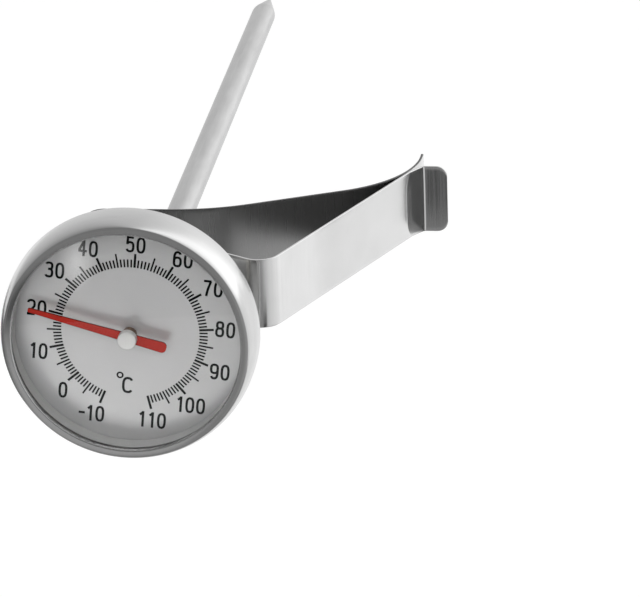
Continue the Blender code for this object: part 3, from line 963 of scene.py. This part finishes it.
    def unit(self) -> Shell:
        """The degree ring, a circle, and the letter C, a squared oval with a mouth to the right.

        Returns:
            Both signs as one shell.
        """
        ring = arc(self.ring, self.ring_r, 0.0, 360.0, 48)
        wide, high = self.letter_half
        letter = self.oval(wide, -high, high, self.letter_mouth, 360.0 - self.letter_mouth, 60) + self.letter
        return Shell.joined([self.ribbon(ring, self.ring_stroke), self.ribbon(letter, self.letter_stroke)])

    def build(self) -> list[bpy.types.Object]:
        """Make the print, dress it in ink and put it on the case.

        Returns:
            The pieces.
        """
        plan = {"scale_ticks": self.ticks(), "scale_numerals": self.words(), "scale_unit": self.unit()}
        return [carried(shell.piece(name, PRINT_INK), "case", "dial") for name, shell in plan.items()]


# Needle


@dataclass
class Needle:
    """Red pointer with its cap. Sizes in mm."""

    axis: Axis
    scale: Scale
    reach: float = 18.0
    tail: float = 6.85
    tip_half: float = 0.43
    tail_half: float = 1.04
    tip_r: float = 0.3
    tail_r: float = 0.8
    foot: float = 2.3
    top: float = 2.6
    bevel: float = 0.09
    hub_r: float = 1.65
    hub_foot: float = 2.8
    hub_top: float = 4.0
    hub_edge: float = 0.14
    hub_dome: float = 0.05
    hub_bore: tuple[float, float] = (0.6, 3.6)
    hub_sides: int = 72
    dome_points: int = 8
    rim_points: int = 7
    end_points: int = 12
    run_points: int = 30

    def pointer(self) -> Shell:
        """A tapered bar, whose half width grows evenly from tip to tail and follows a circle at its corners.

        A bevelled section is carried along the bar and stretched to its half width. The top and the underside
        are the first side, the bevels and the edges the second.

        Returns:
            The bar's shell.
        """
        steps = 1.0 - np.cos(np.radians(np.linspace(0.0, 90.0, self.end_points)))
        straight = np.linspace(self.reach - self.tip_r, self.tail_r - self.tail, self.run_points)[1:-1]
        tip, tail = self.reach - self.tip_r * steps, (self.tail_r * steps - self.tail)[::-1]
        along = np.concatenate([tip, straight, tail])
        share = (self.reach - along) / (self.reach + self.tail)
        half = self.tip_half + (self.tail_half - self.tip_half) * share
        half = narrowed(half, self.reach - along, self.tip_r)
        half = narrowed(half, along + self.tail, self.tail_r)
        thick = self.top - self.foot
        edge = np.array([-1.0, -1.0, 1.0, 1.0, 1.0, 1.0, -1.0, -1.0])
        front = np.array([1.0, 1.0, 1.0, 1.0, -1.0, -1.0, -1.0, -1.0])
        inset = np.array([0.0, 1.0, 1.0, 0.0, 0.0, 1.0, 1.0, 0.0]) * self.bevel
        height = (self.foot + self.top) / 2.0 + front * (thick / 2.0 - self.bevel + inset)
        width = edge * (half[:, None] - inset)
        turn = self.scale.head_turn + self.scale.angle(self.scale.rest)
        points = self.axis.spun(width, along[:, None], height, turn)
        around = np.arange(len(edge) + 1) * thick * MM
        shell = Shell.grid(points, along[::-1] * MM, around, round_v=True, caps=True)
        # the bevels and edges take the darker red of painted shade
        edges = inset + np.roll(inset, -1) < 2.0 * self.bevel
        shell.sides = np.concatenate([np.tile(edges, len(along) - 1), [True, True]])
        return shell

    def hub_profile(self) -> Array:
        """Slightly domed cap with a rounded edge and a bore from below, from the axis and back to it.

        The dome's height falls with the square of the radius.

        Returns:
            (radius, height) points of the open profile.
        """
        edge, foot = self.hub_edge, self.hub_foot
        radii = np.linspace(0.0, self.hub_r - edge, self.dome_points)[:-1]
        dome = np.stack([radii, self.hub_top + self.hub_dome * (1.0 - (radii / self.hub_r) ** 2)], -1)
        rim = arc((self.hub_r - edge, self.hub_top - edge), edge, 90.0, 0.0, self.rim_points)
        bore_r, bore_top = self.hub_bore
        below = np.array([[self.hub_r, foot], [bore_r, foot], [bore_r, bore_top], [0.0, bore_top]])
        return np.concatenate([dome, rim, below])

    def build(self) -> list[bpy.types.Object]:
        """Make the pointer and its cap and put them on the needle.

        Returns:
            The pieces.
        """
        pointer = self.pointer().piece("pointer_red", RED_LACQUER, RED_SHADED_EDGE)
        hub = self.axis.turned(self.hub_profile(), self.hub_sides, False).piece("pointer_cap", ANODISED)
        return [carried(pointer, "needle", "red", "pointer"), carried(hub, "needle", "nickel", "pointer_hub")]


# Probe


@dataclass
class Probe:
    """Pointed stem tube and the nut that joins it to the head. Sizes in mm, heights from the dial's face."""

    axis: Axis
    sides: int = 96
    radius: float = 2.5
    bore_r: float = 2.1
    top: float = -9.4
    end: float = -180.3
    tip: float = -190.5
    point_r: float = 0.4
    nose_points: int = 8
    shoulder_r: float = 9.6
    shoulder_steps: tuple[int, int] = (24, 16)
    cavity: float = -176.3
    nut_sides: int = 180
    nut_flats: float = 9.0
    nut_top: float = -6.9
    nut_bottom: float = -12.9
    nut_chamfer: float = 0.7
    nut_chamfer_slope: float = math.radians(60.0)
    nut_chamfer_h: float = 0.6
    nut_chamfer_points: int = 6
    nut_bore_r: float = 2.6
    nut_socket_r: float = 3.2
    nut_socket_floor: float = -9.2
    nut_crease: float = 20.0

    def stem_profile(self) -> Array:
        """Round point, cone, shoulder arc and tube, then the bore down to its floor.

        Returns:
            (radius, height) points of the open profile.
        """
        nose_h = self.tip + self.point_r
        slope = math.degrees(math.atan2(self.radius - self.point_r, self.end - nose_h))
        nose = arc((0.0, nose_h), self.point_r, -90.0, -slope, self.nose_points)
        nose[0, 0] = 0.0
        path = np.array([[self.point_r, nose_h], [self.radius, self.end], [self.radius, self.top]])
        side = rounded(path, [self.shoulder_r], *self.shoulder_steps)[1:]
        bore = np.array([[self.bore_r, self.top], [self.bore_r, self.cavity], [0.0, self.cavity]])
        return np.concatenate([nose, side, bore])

    def nut(self) -> Shell:
        """Hexagon nut: the radius is half the flats over the cosine of the angle to the nearest flat.

        At each end a cone trims the corners, so the radius there is the smaller of the two.

        Returns:
            The nut's shell.
        """
        angle = np.linspace(0.0, TURN, self.nut_sides, endpoint=False)[:, None]
        sixth = TURN / 6.0
        to_flat = (angle + sixth / 2.0) % sixth - sixth / 2.0
        hexagon = self.nut_flats / 2.0 / np.cos(to_flat)
        depth = np.linspace(0.0, self.nut_chamfer_h, self.nut_chamfer_points)
        heights = np.concatenate([self.nut_top - depth, (self.nut_bottom + depth)[::-1]])
        from_end = np.minimum(self.nut_top - heights, heights - self.nut_bottom)
        corner_r = self.nut_flats / 2.0 / math.cos(sixth / 2.0)
        cone = corner_r - self.nut_chamfer + from_end * math.tan(self.nut_chamfer_slope)
        bore_r = np.repeat([self.nut_bore_r, self.nut_socket_r], 2)
        bore_h = np.array([self.nut_bottom, self.nut_socket_floor, self.nut_socket_floor, self.nut_top])
        inner = np.broadcast_to(bore_r, (self.nut_sides, len(bore_r)))
        radius = np.concatenate([np.minimum(hexagon, cone), inner], 1)
        height = np.concatenate([heights, bore_h])
        points = self.axis.place(radius, angle, height)
        around = np.linspace(0.0, TURN, self.nut_sides + 1) * corner_r * MM
        flat_h = np.abs(np.append(height, height[0])) * MM
        return Shell.grid(points, around, flat_h, round_u=True, round_v=True)

    def build(self) -> list[bpy.types.Object]:
        """Make the stem and its nut and put them on the stem's body.

        Returns:
            The pieces.
        """
        stem = self.axis.turned(self.stem_profile(), self.sides, False).piece("probe_stem", PROBE_STEEL)
        nut = self.nut().piece("neck_nut", NICKEL, crease=self.nut_crease)
        return [
            carried(stem, "stem", "satin_steel", "stem_tube", "stem_tip"),
            carried(nut, "stem", "nickel", "calibration_nut"),
        ]


# Clip


class Side(IntEnum):
    """Sides of the strip, by the place of their finish among the piece's finishes."""

    OUTER = 0
    INNER = 1
    EDGE = 2


@dataclass
class SpringClip:
    """Folded spring strip. Lines are (distance from the stem's axis, distance behind the dial) in mm."""

    axis: Axis
    width: float = 12.9
    thick: float = 0.45
    edge: float = 0.1
    back_leg: float = 43.3
    lip_reach: float = 44.0
    lip_length: float = 15.3
    lip_bend_r: float = 21.7
    lip_corner_r: float = 1.0
    back_slope: float = math.radians(24.9)
    back_flat: float = 7.8
    back_bend_r: float = 34.8
    base_drop: float = 12.8
    base_slope: float = math.radians(32.4)
    hairpin_r: float = 2.6
    fold_reach: float = 21.5
    fold_r: float = 3.6
    fold_run: float = 1.0
    jaw_gap: float = 0.7
    jaw_angle: float = math.radians(36.6)
    facet_slide: float = 3.0
    facet_length: float = 5.55
    facet_tilt: float = math.radians(31.2)
    facet_r: float = 3.0
    facet_sweep: float = 2.0
    tab_length: float = 4.55
    tab_corner_r: float = 2.0
    crease_r: float = 0.9
    seam_reach: float = 8.0
    hole_r: float = 2.7
    hole_span: tuple[float, float] = (-20.0, -60.0)
    hole_sides: int = 64
    bend_half: float = 1.5
    polish_from: float = 38.0
    sweep_power: int = 5
    rear_steps: tuple[int, int] = (24, 40)
    front_steps: tuple[int, int] = (30, 24)
    across_points: int = 19
    edge_points: int = 5
    end_points: int = 10
    end_room: float = 1.02

    def base_at(self, reach: float) -> Array:
        """The point of the base at a distance from the axis."""
        return np.array([reach, self.back_leg - self.base_drop - reach * math.tan(self.base_slope)])

    def corners(self) -> tuple[Array, Array]:
        """Corners of the strip's middle line, from the grip lip to the seam and from the seam to the tab.

        The front leg runs from the fold to a point that stands off the lip's bend by the jaw's gap.

        Returns:
            The corners of both lengths.
        """
        lip_h = self.back_leg + (self.lip_reach - self.back_flat) * math.tan(self.back_slope)
        lip = np.array([self.lip_reach, lip_h])
        hairpin = np.array([-self.base_drop / math.tan(self.base_slope), self.back_leg])
        lip_turn = math.pi / 2.0 - self.back_slope
        centre = lip + (-self.lip_bend_r, self.lip_bend_r * math.tan(lip_turn / 2.0))
        spoke = np.array([math.cos(self.jaw_angle), -math.sin(self.jaw_angle)])
        touch = centre + spoke * (self.lip_bend_r + self.thick + self.jaw_gap)
        fold, seam = self.base_at(self.fold_reach), self.base_at(self.seam_reach)
        facet = touch + (touch - fold) / np.linalg.norm(touch - fold) * self.facet_slide
        tilt = np.array([math.sin(self.facet_tilt), math.cos(self.facet_tilt)])
        crease = facet + tilt * self.facet_length
        back = [lip + (0.0, self.lip_length), lip, (self.back_flat, self.back_leg), hairpin, seam]
        front = [seam, fold, facet, crease, crease + (self.tab_length, 0.0)]
        return np.array(back, float), np.array(front, float)

    def section(self) -> tuple[Array, Array]:
        """Loop round the strip, a flat bar with rounded edges, from its outer to its inner side.

        Returns:
            Share of the half width, and distance from the middle surface, of each point of the loop.
        """
        half, flat_end = self.thick / 2.0, 1.0 - 2.0 * self.edge / self.width
        across = np.linspace(-flat_end, flat_end, self.across_points)
        level = np.full_like(across, half)
        corner = np.radians(np.linspace(0.0, 90.0, self.edge_points)[1:])
        rise = flat_end + (1.0 - flat_end) * np.sin(corner)
        drop = half - self.edge * (1.0 - np.cos(corner))
        share = np.concatenate([across, rise, rise[::-1], across[::-1], -rise, -rise[::-1]])
        distance = np.concatenate([level, drop, -drop[::-1], -level, -drop, drop[::-1]])
        return share, distance

    def sides(self, line: Array, share: Array, distance: Array) -> Array:
        """Side of each face: the outer one, the dull inner one short of the polished end, or the edge.

        Args:
            line: middle line of the strip.
            share: shares of the section's points.
            distance: distances of the section's points.

        Returns:
            The number of a Side for each face, with the two end faces last.
        """
        inner = (distance < 0.0) & (np.roll(distance, -1) < 0.0)
        dull = line[1:, 0] < self.polish_from
        limit = 1.0 - 2.0 * self.edge / self.width - MERGE
        rim = (np.abs(share) > limit) & (np.abs(np.roll(share, -1)) > limit)
        side = np.where(rim, Side.EDGE, np.where(dull[:, None] & inner, Side.INNER, Side.OUTER))
        return np.append(side, [Side.EDGE, Side.EDGE])

    def strip(self, line: Array, edge_line: Array, ends: tuple[float, float]) -> Shell:
        """Carry the section along a line: out from the middle surface by its distance, up by its share.

        From one line to the other the middle surface goes over by a high power of the share.

        Args:
            line: middle line at half height.
            edge_line: middle line at the upper and lower edge, with as many points.
            ends: corner radius at the first and the last end.

        Returns:
            The strip's shell.
        """
        share, distance = self.section()
        far = lengths(line)
        half = np.full(len(line), self.width / 2.0)
        for radius, gone in zip(ends, (far, far[-1] - far)):
            half = narrowed(half, gone, radius)
        pull = (np.abs(share) ** self.sweep_power)[None, :, None]
        middle = line[:, None, :] + (edge_line - line)[:, None, :] * pull
        ahead = np.gradient(middle, axis=0)
        ahead = ahead / np.linalg.norm(ahead, axis=-1, keepdims=True)
        outward = np.stack([ahead[..., 1], -ahead[..., 0]], -1)
        plan = middle + outward * distance[None, :, None]
        points = self.axis.flat(plan[..., 0], half[:, None] * share, -plan[..., 1])
        loop = np.stack([share * self.width / 2.0, distance], -1)
        round_loop = lengths(np.concatenate([loop, loop[:1]])) * MM
        shell = Shell.grid(points, far * MM, round_loop, round_v=True, caps=True)
        shell.sides = self.sides(line, share, distance)
        return shell

    def with_end(self, line: Array, guide: Array, radius: float, first: bool) -> Array:
        """Add close points at one end of a line, where the strip's corners are rounded off.

        Their distances from the end are the radius times one minus the cosine of an even angle.

        Args:
            line: points of the line.
            guide: line with as many points that tells which points the end replaces.
            radius: corner radius there.
            first: whether it is the first end.

        Returns:
            The line with the end's points.
        """
        order, rule = (line, guide) if first else (line[::-1], guide[::-1])
        ahead = (order[1] - order[0]) / np.linalg.norm(order[1] - order[0])
        steps = radius * (1.0 - np.cos(np.radians(np.linspace(0.0, 90.0, self.end_points))))[:, None]
        kept = order[np.linalg.norm(rule - rule[0], axis=1) > radius * self.end_room]
        made = np.concatenate([order[0] + ahead * steps, kept])
        return made if first else made[::-1]

    def hole(self, piece: bpy.types.Object) -> None:
        """Cut the hole for the stem, a round bar, through both legs.

        Args:
            piece: the strip that the stem passes through.
        """
        near, far = self.hole_span
        bar = np.array([[0.0, near], [self.hole_r, near], [self.hole_r, far], [0.0, far]])
        cutter = self.axis.turned(bar, self.hole_sides, False).piece("stem_cutter", STRIP_STEEL)
        boolean = piece.modifiers.new("stem_hole", "BOOLEAN")
        boolean.operation = "DIFFERENCE"
        boolean.object = cutter
        view = bpy.context.evaluated_depsgraph_get()
        cut = bpy.data.meshes.new_from_object(piece.evaluated_get(view), depsgraph=view)
        piece.modifiers.clear()
        piece.data = cut
        cut.shade_smooth()
        cut.set_sharp_from_angle(angle=math.radians(CREASE))
        bpy.data.objects.remove(cutter, do_unlink=True)

    def rear(self, corners: Array) -> bpy.types.Object:
        """Grip lip, back leg, hairpin fold and the base as far as the seam.

        Args:
            corners: corners of this length.

        Returns:
            The piece, on the clip.
        """
        radii = [self.lip_bend_r, self.back_bend_r, self.hairpin_r]
        line = rounded(corners, radii, *self.rear_steps)
        line = self.with_end(line, line, self.lip_corner_r, True)
        strip = self.strip(line, line, (self.lip_corner_r, 0.0))
        piece = strip.piece("clip_rear", STRIP_STEEL, STRIP_MILL, STRIP_EDGE)
        self.hole(piece)
        return carried(piece, "clip", "spring_steel", "clip_band")

    def front(self, corners: Array) -> bpy.types.Object:
        """Base from the seam, front fold, front leg, facet and tab.

        At the strip's edges the facet starts a little further along the leg than at half height.

        Args:
            corners: corners of this length.

        Returns:
            The piece, baked into world place.
        """
        seam, fold, facet = corners[:3]
        leg = (facet - fold) / np.linalg.norm(facet - fold)
        swept = corners.copy()
        swept[2] = facet + leg * self.facet_sweep
        radii = [self.fold_r, self.facet_r, self.crease_r]
        bare = [rounded(way, radii, *self.front_steps) for way in (corners, swept)]
        lines = [self.with_end(line, bare[0], self.tab_corner_r, False) for line in bare]
        strip = self.strip(*lines, (0.0, self.tab_corner_r))
        piece = strip.piece("clip_front", STRIP_STEEL, STRIP_MILL, STRIP_STEEL)
        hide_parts("clip_jaw")
        base = (fold - seam) / np.linalg.norm(fold - seam)
        turn = math.acos(float(base @ leg))
        hinge = fold + leg * (self.fold_r * math.tan(turn / 2.0) + self.fold_run)
        reach = hinge[0] + np.array([-self.bend_half, self.bend_half])
        start, end = self.axis.flat(reach, np.zeros(2), -hinge[1]).tolist()
        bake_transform(piece)
        return piece

    def build(self) -> list[bpy.types.Object]:
        """Make the strip in two lengths that meet behind the head.

        Returns:
            The pieces.
        """
        back, front = self.corners()
        return [self.rear(back), self.front(front)]


# Works


@dataclass(frozen=True)
class Works:
    """The turned and wound pieces inside the head and the stem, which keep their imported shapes."""

    finishes: tuple[tuple[str, Finish], ...] = (
        ("case_bush", BRASS),
        ("shaft_bearing", BRASS),
        ("friction_washer", DRAWN_STEEL),
        ("coil_anchor", BRASS),
        ("shaft_guide", BRASS),
        ("bimetal_coil", BIMETAL),
        ("coil_sleeve", BRASS),
        ("pointer_shaft", DRAWN_STEEL),
        # the collet's dark brass is painted shade under the cap
        ("pointer_collet", BRASS_SHADED),
    )

    def build(self) -> list[bpy.types.Object]:
        """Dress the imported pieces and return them."""
        return [dressed(node, finish) for node, finish in self.finishes]


# Studio


@dataclass(frozen=True)
class Card:
    """An upright board: its ends, foot and tops in metres, and its brightness in mirrors and under glass."""

    name: str
    ends: tuple[tuple[float, float], tuple[float, float]]
    foot: float
    tops: tuple[float, float]
    glow: float
    under_glass: float
    backed: bool = True
    faded: bool = False

    def points(self) -> Array:
        """The board's four corners, shaped (2, 2, 3)."""
        heights = np.array([(self.foot, self.foot), self.tops])[..., None]
        return np.concatenate([np.array([self.ends, self.ends]), heights], -1)

    def fade(self, tree: bpy.types.NodeTree) -> bpy.types.NodeSocket:
        """Brightness that falls from one in the board's middle to nothing at its edges.

        Args:
            tree: node tree that gets the nodes.

        Returns:
            The socket with the brightness.
        """
        corners = self.points().reshape(4, 3)
        low, high = corners.min(0), corners.max(0)
        scale = np.array([2.0 / (high[0] - low[0]), 0.0, 2.0 / (high[2] - low[2])])
        place = add(tree, "ShaderNodeTexCoord").outputs[Lay.PLACE.value]
        centred = {"Vector": place, "Location": -corners.mean(0) * scale, "Scale": scale}
        middle = add(tree, "ShaderNodeMapping", centred).outputs[0]
        return add(tree, "ShaderNodeTexGradient", {"Vector": middle}, gradient_type="SPHERICAL").outputs[1]

    def material(self) -> bpy.types.Material:
        """Build the glowing material: even or fading to its edges, and clear from behind if it has no back.

        Returns:
            The finished material.
        """
        material, tree, output = blank_tree(self.name)
        glass = add(tree, "ShaderNodeLightPath").outputs["Is Transmission Ray"]
        span = {"Value": glass, "To Min": self.glow, "To Max": self.under_glass}
        level = add(tree, "ShaderNodeMapRange", span).outputs[0]
        if self.faded:
            fading = {0: level, 1: self.fade(tree)}
            level = add(tree, "ShaderNodeMath", fading, operation="MULTIPLY").outputs[0]
        face = add(tree, "ShaderNodeEmission", {"Color": WHITE, "Strength": level}).outputs[0]
        if not self.backed:
            clear = add(tree, "ShaderNodeBsdfTransparent").outputs[0]
            back = add(tree, "ShaderNodeNewGeometry").outputs["Backfacing"]
            face = add(tree, "ShaderNodeMixShader", {0: back, 1: face, 2: clear}).outputs[0]
        tree.links.new(face, output.inputs["Surface"])
        return material


@dataclass(frozen=True)
class Lamp:
    """A square soft lamp that mirrors don't show: its place, the length of its sides and its power."""

    name: str
    place: tuple[float, float, float]
    size: float
    watts: float

    def build(self, aim: Array) -> None:
        """Put the lamp into the scene.

        Args:
            aim: the point that it faces.
        """
        data = bpy.data.lights.new(self.name, "AREA")
        data.shape = "SQUARE"
        data.size = self.size
        data.energy = self.watts
        item = placed(self.name, data)
        back = (np.array(self.place) - aim) / np.linalg.norm(np.array(self.place) - aim)
        right = np.cross((0.0, 0.0, 1.0), back)
        right = right / np.linalg.norm(right)
        item.matrix_world = facing(right, np.cross(back, right), back, self.place)
        item.visible_camera = False
        item.visible_glossy = False


def facing(right: Array, up: Array, back: Array, place: tuple[float, float, float]) -> Matrix:
    """Matrix of a lamp or a camera.

    Args:
        right: direction of its right side.
        up: direction of its upper side.
        back: direction from what it faces to itself.
        place: where it stands.

    Returns:
        The matrix.
    """
    turn = np.eye(4)
    turn[:3, :3] = np.stack([right, up, back], -1)
    turn[:3, 3] = place
    return Matrix(turn.tolist())


@dataclass
class Studio:
    """Pale floor, soft lamps, boards for the metal to mirror, and the camera. Sizes in metres.

    Levels are pairs of a direction round the upright axis, from 0 at -X through -Y to 0.5 at +X and on
    through +Y, and a brightness.
    """

    floor_z: float = -0.15
    floor_half: float = 3.0
    floor_paper: str = "#F4F4F4"
    floor_share: float = 0.75
    floor_white: float = 1.2
    wall_radius: float = 0.22
    wall_span: tuple[float, float] = (0.0, 0.63)
    wall_heights: tuple[float, float] = (-0.149, 0.03)
    wall_points: int = 96
    wall_levels: tuple[tuple[float, float], ...] = (
        (0.0, 0.14),
        (0.075, 0.18),
        (0.14, 0.26),
        (0.258, 0.26),
        (0.308, 0.58),
        (0.366, 0.78),
        (0.432, 0.88),
        (0.521, 0.98),
        (0.575, 1.08),
        (0.63, 1.08),
    )
    tray_level: float = 0.27
    tray_inner_r: float = 0.02
    tray_points: int = 48
    sky_levels: tuple[tuple[float, float], ...] = (
        (0.0, 0.35),
        (0.08, 0.27),
        (0.2, 0.24),
        (0.35, 0.27),
        (0.45, 0.75),
        (0.53, 1.4),
        (0.57, 1.8),
        (0.63, 1.8),
        (0.68, 1.15),
        (0.75, 0.88),
        (0.81, 0.84),
        (0.89, 0.60),
        (1.0, 0.35),
    )
    sky_soft: float = 0.42
    sky_top: float = 0.8
    sky_fall: tuple[float, float] = (0.3, 0.9)
    cards: tuple[Card, ...] = (
        Card("card_soft", ((-0.135, -0.165), (-0.036, -0.2)), -0.149, (-0.041, -0.0485), 0.45, 2.7),
        Card("card_black", ((-0.135, -0.168), (-0.033, -0.203)), -0.056, (-0.015, -0.022), 0.03, 0.05),
        Card(
            "card_gleam", ((-0.0745, -0.183), (-0.0669, -0.183)), -0.0378, (-0.0233, -0.0233), 5.0, 3.0,
            faded=True,
        ),
        Card("card_left", ((-0.17, 0.138), (-0.21, -0.03)), -0.149, (-0.035, -0.035), 0.16, 0.16),
        Card("card_tab", ((-0.009, -0.08), (0.007, -0.08)), -0.0365, (-0.020, -0.020), 0.04, 0.04),
        Card(
            "card_far", ((0.0248, -0.0061), (0.1817, 0.0919)), -0.09, (0.012, 0.012), 0.08, 0.08,
            backed=False,
        ),
        Card(
            "card_near", ((0.0340, -0.0101), (0.1500, -0.0101)), -0.09, (0.012, 0.012), 0.08, 0.08,
            backed=False,
        ),
    )
    unseen_by: tuple[str, ...] = ("camera", "diffuse", "volume_scatter", "shadow")
    lamps: tuple[Lamp, ...] = (
        Lamp("key", (-0.33, -0.62, -0.2), 0.9, 1.5),
        Lamp("fill", (-0.05, -0.76, 0.38), 0.5, 2.7),
    )
    aim: tuple[float, float, float] = (-0.03, -0.03, 0.0)
    eye: tuple[float, float, float] = (0.07433, -0.69341, 0.25958)
    right: tuple[float, float, float] = (0.992901, 0.114662, -0.031623)
    down: tuple[float, float, float] = (0.013111, -0.369755, -0.929037)
    ahead: tuple[float, float, float] = (-0.118218, 0.922027, -0.368634)
    photo_width_px: float = 640.0
    focal_px: float = 4000.0
    sensor_mm: float = 36.0

    @staticmethod
    def levels(
        tree: bpy.types.NodeTree, way: bpy.types.NodeSocket, stops: tuple[tuple[float, float], ...]
    ) -> bpy.types.NodeSocket:
        """Grey that follows the direction round the upright axis.

        Args:
            tree: node tree that gets the nodes.
            way: socket with a place or a direction.
            stops: directions and their brightness.

        Returns:
            The socket with the brightness as a share of RAMP_TOP.
        """
        sweep = add(tree, "ShaderNodeTexGradient", {"Vector": way}, gradient_type="RADIAL")
        ramp = add(tree, "ShaderNodeValToRGB", {"Fac": sweep.outputs[0]})
        marks = ramp.color_ramp.elements
        while len(marks) < len(stops):
            marks.new(0.5)
        for mark, (at, level) in zip(marks, stops):
            mark.position = at
            mark.color = (level / RAMP_TOP, level / RAMP_TOP, level / RAMP_TOP, 1.0)
        return ramp.outputs[0]

    @staticmethod
    def board(
        name: str, points: Array, material: bpy.types.Material, unseen_by: tuple[str, ...] = ()
    ) -> bpy.types.Object:
        """Make a piece of the stage from a grid of points.

        Args:
            name: the piece's name.
            points: points, shaped (rows, columns, 3).
            material: what it is made of.
            unseen_by: the kinds of rays that don't see it.

        Returns:
            The new object.
        """
        rows, columns = points.shape[:2]
        shell = Shell.grid(points, np.arange(rows), np.arange(columns))
        mesh = bpy.data.meshes.new(name)
        mesh.from_pydata(shell.points.tolist(), [], shell.faces)
        mesh.materials.append(material)
        item = placed(name, mesh)
        for ray in unseen_by:
            setattr(item, f"visible_{ray}", False)
        return item

    def floor(self) -> bpy.types.Object:
        """A flat pale floor: white to the eye, in mirrors and through glass, and it keeps the shadow.

        Returns:
            The floor.
        """
        material, tree, output = blank_tree("floor_paper")
        path = add(tree, "ShaderNodeLightPath")
        seen = path.outputs["Is Camera Ray"]
        for ray in ("Is Glossy Ray", "Is Transmission Ray"):
            either = {0: seen, 1: path.outputs[ray]}
            seen = add(tree, "ShaderNodeMath", either, operation="MAXIMUM").outputs[0]
        share = add(tree, "ShaderNodeMath", {0: seen, 1: self.floor_share}, operation="MULTIPLY").outputs[0]
        paper = add(tree, "ShaderNodeBsdfDiffuse", {"Color": linear(self.floor_paper)}).outputs[0]
        white = add(tree, "ShaderNodeEmission", {"Color": WHITE, "Strength": self.floor_white}).outputs[0]
        mix = add(tree, "ShaderNodeMixShader", {0: share, 1: paper, 2: white})
        tree.links.new(mix.outputs[0], output.inputs["Surface"])
        side = np.array([-self.floor_half, self.floor_half])
        x, y = np.meshgrid(side, side, indexing="ij")
        return self.board("floor", np.stack([x, y, np.full_like(x, self.floor_z)], -1), material)

    def wall(self) -> bpy.types.Object:
        """A curved wall whose grey follows the direction: an arc of a cylinder about the upright axis.

        Returns:
            The wall.
        """
        material, tree, output = blank_tree("board_grey")
        place = add(tree, "ShaderNodeTexCoord").outputs[Lay.PLACE.value]
        grey = self.levels(tree, place, self.wall_levels)
        glow = add(tree, "ShaderNodeEmission", {"Color": grey, "Strength": RAMP_TOP})
        tree.links.new(glow.outputs[0], output.inputs["Surface"])
        angle = (np.linspace(*self.wall_span, self.wall_points) - 0.5)[:, None] * TURN
        ring = np.cos(angle), np.sin(angle), np.array(self.wall_heights)
        x, y, z = np.broadcast_arrays(*ring)
        points = np.stack([self.wall_radius * x, self.wall_radius * y, z], -1)
        return self.board("wall", points, material, self.unseen_by)

    def tray(self) -> bpy.types.Object:
        """A dark tray before the wall: half a disc at its foot.

        Returns:
            The tray.
        """
        material, tree, output = blank_tree("board_dark")
        grey = (self.tray_level, self.tray_level, self.tray_level, 1.0)
        glow = add(tree, "ShaderNodeEmission", {"Color": grey, "Strength": 1.0})
        tree.links.new(glow.outputs[0], output.inputs["Surface"])
        spread = np.array([self.tray_inner_r, self.wall_radius])
        angle = np.linspace(-math.pi, 0.0, self.tray_points)[:, None]
        x, y = spread * np.cos(angle), spread * np.sin(angle)
        points = np.stack([x, y, np.full_like(x, self.wall_heights[0])], -1)
        return self.board("tray", points, material, self.unseen_by)

    def world(self) -> None:
        """White for the eye, brighter behind and at the right in mirrors, and else a plain soft light."""
        world = bpy.data.worlds.new("studio")
        world.use_nodes = True
        tree = world.node_tree
        tree.nodes.clear()
        output = add(tree, "ShaderNodeOutputWorld")
        way = add(tree, "ShaderNodeTexCoord").outputs["Generated"]
        up = add(tree, "ShaderNodeSeparateXYZ", {0: way}).outputs["Z"]
        low, high = self.sky_fall
        even, dull = RAMP_TOP, RAMP_TOP * self.sky_top
        fall = {"Value": up, "From Min": low, "From Max": high, "To Min": even, "To Max": dull}
        dim = add(tree, "ShaderNodeMapRange", fall).outputs[0]
        around = {"Color": self.levels(tree, way, self.sky_levels), "Strength": dim}
        mirror = add(tree, "ShaderNodeBackground", around).outputs[0]
        white = add(tree, "ShaderNodeBackground", {"Color": WHITE, "Strength": 1.0}).outputs[0]
        soft = add(tree, "ShaderNodeBackground", {"Color": WHITE, "Strength": self.sky_soft}).outputs[0]
        path = add(tree, "ShaderNodeLightPath").outputs
        unseen = add(tree, "ShaderNodeMixShader", {0: path["Is Glossy Ray"], 1: soft, 2: mirror}).outputs[0]
        mix = add(tree, "ShaderNodeMixShader", {0: path["Is Camera Ray"], 1: unseen, 2: white})
        tree.links.new(mix.outputs[0], output.inputs["Surface"])
        bpy.context.scene.world = world

    def camera(self) -> None:
        """The photograph's camera: a long lens, looking slightly down at the dial."""
        data = bpy.data.cameras.new("camera")
        data.sensor_fit = "HORIZONTAL"
        data.sensor_width = self.sensor_mm
        data.lens = self.sensor_mm * self.focal_px / self.photo_width_px
        data.dof.use_dof = False
        item = placed("camera", data)
        item.matrix_world = facing(self.right, -np.array(self.down), -np.array(self.ahead), self.eye)
        bpy.context.scene.camera = item

    def build(self) -> list[bpy.types.Object]:
        """Set up the light, the camera, the floor and the boards, which only mirrors and glass see.

        Returns:
            The floor and the boards.
        """
        bpy.context.scene.view_settings.view_transform = "Standard"
        self.world()
        for lamp in self.lamps:
            lamp.build(np.array(self.aim))
        self.camera()
        cards = [self.board(card.name, card.points(), card.material(), self.unseen_by) for card in self.cards]
        return [self.floor(), self.wall(), self.tray(), *cards]


def main() -> None:
    """Build the studio and every part of the thermometer."""
    logging.basicConfig(level=logging.INFO, format="%(message)s")
    axis, scale = Axis.from_frame(), Scale()
    head, mark, needle = Head(axis), DialPrint(axis, scale), Needle(axis, scale)
    for part in (Studio(), head, mark, needle, Probe(axis), SpringClip(axis), Works()):
        for piece in part.build():
            report(piece)


if __name__ == "__main__":
    main()
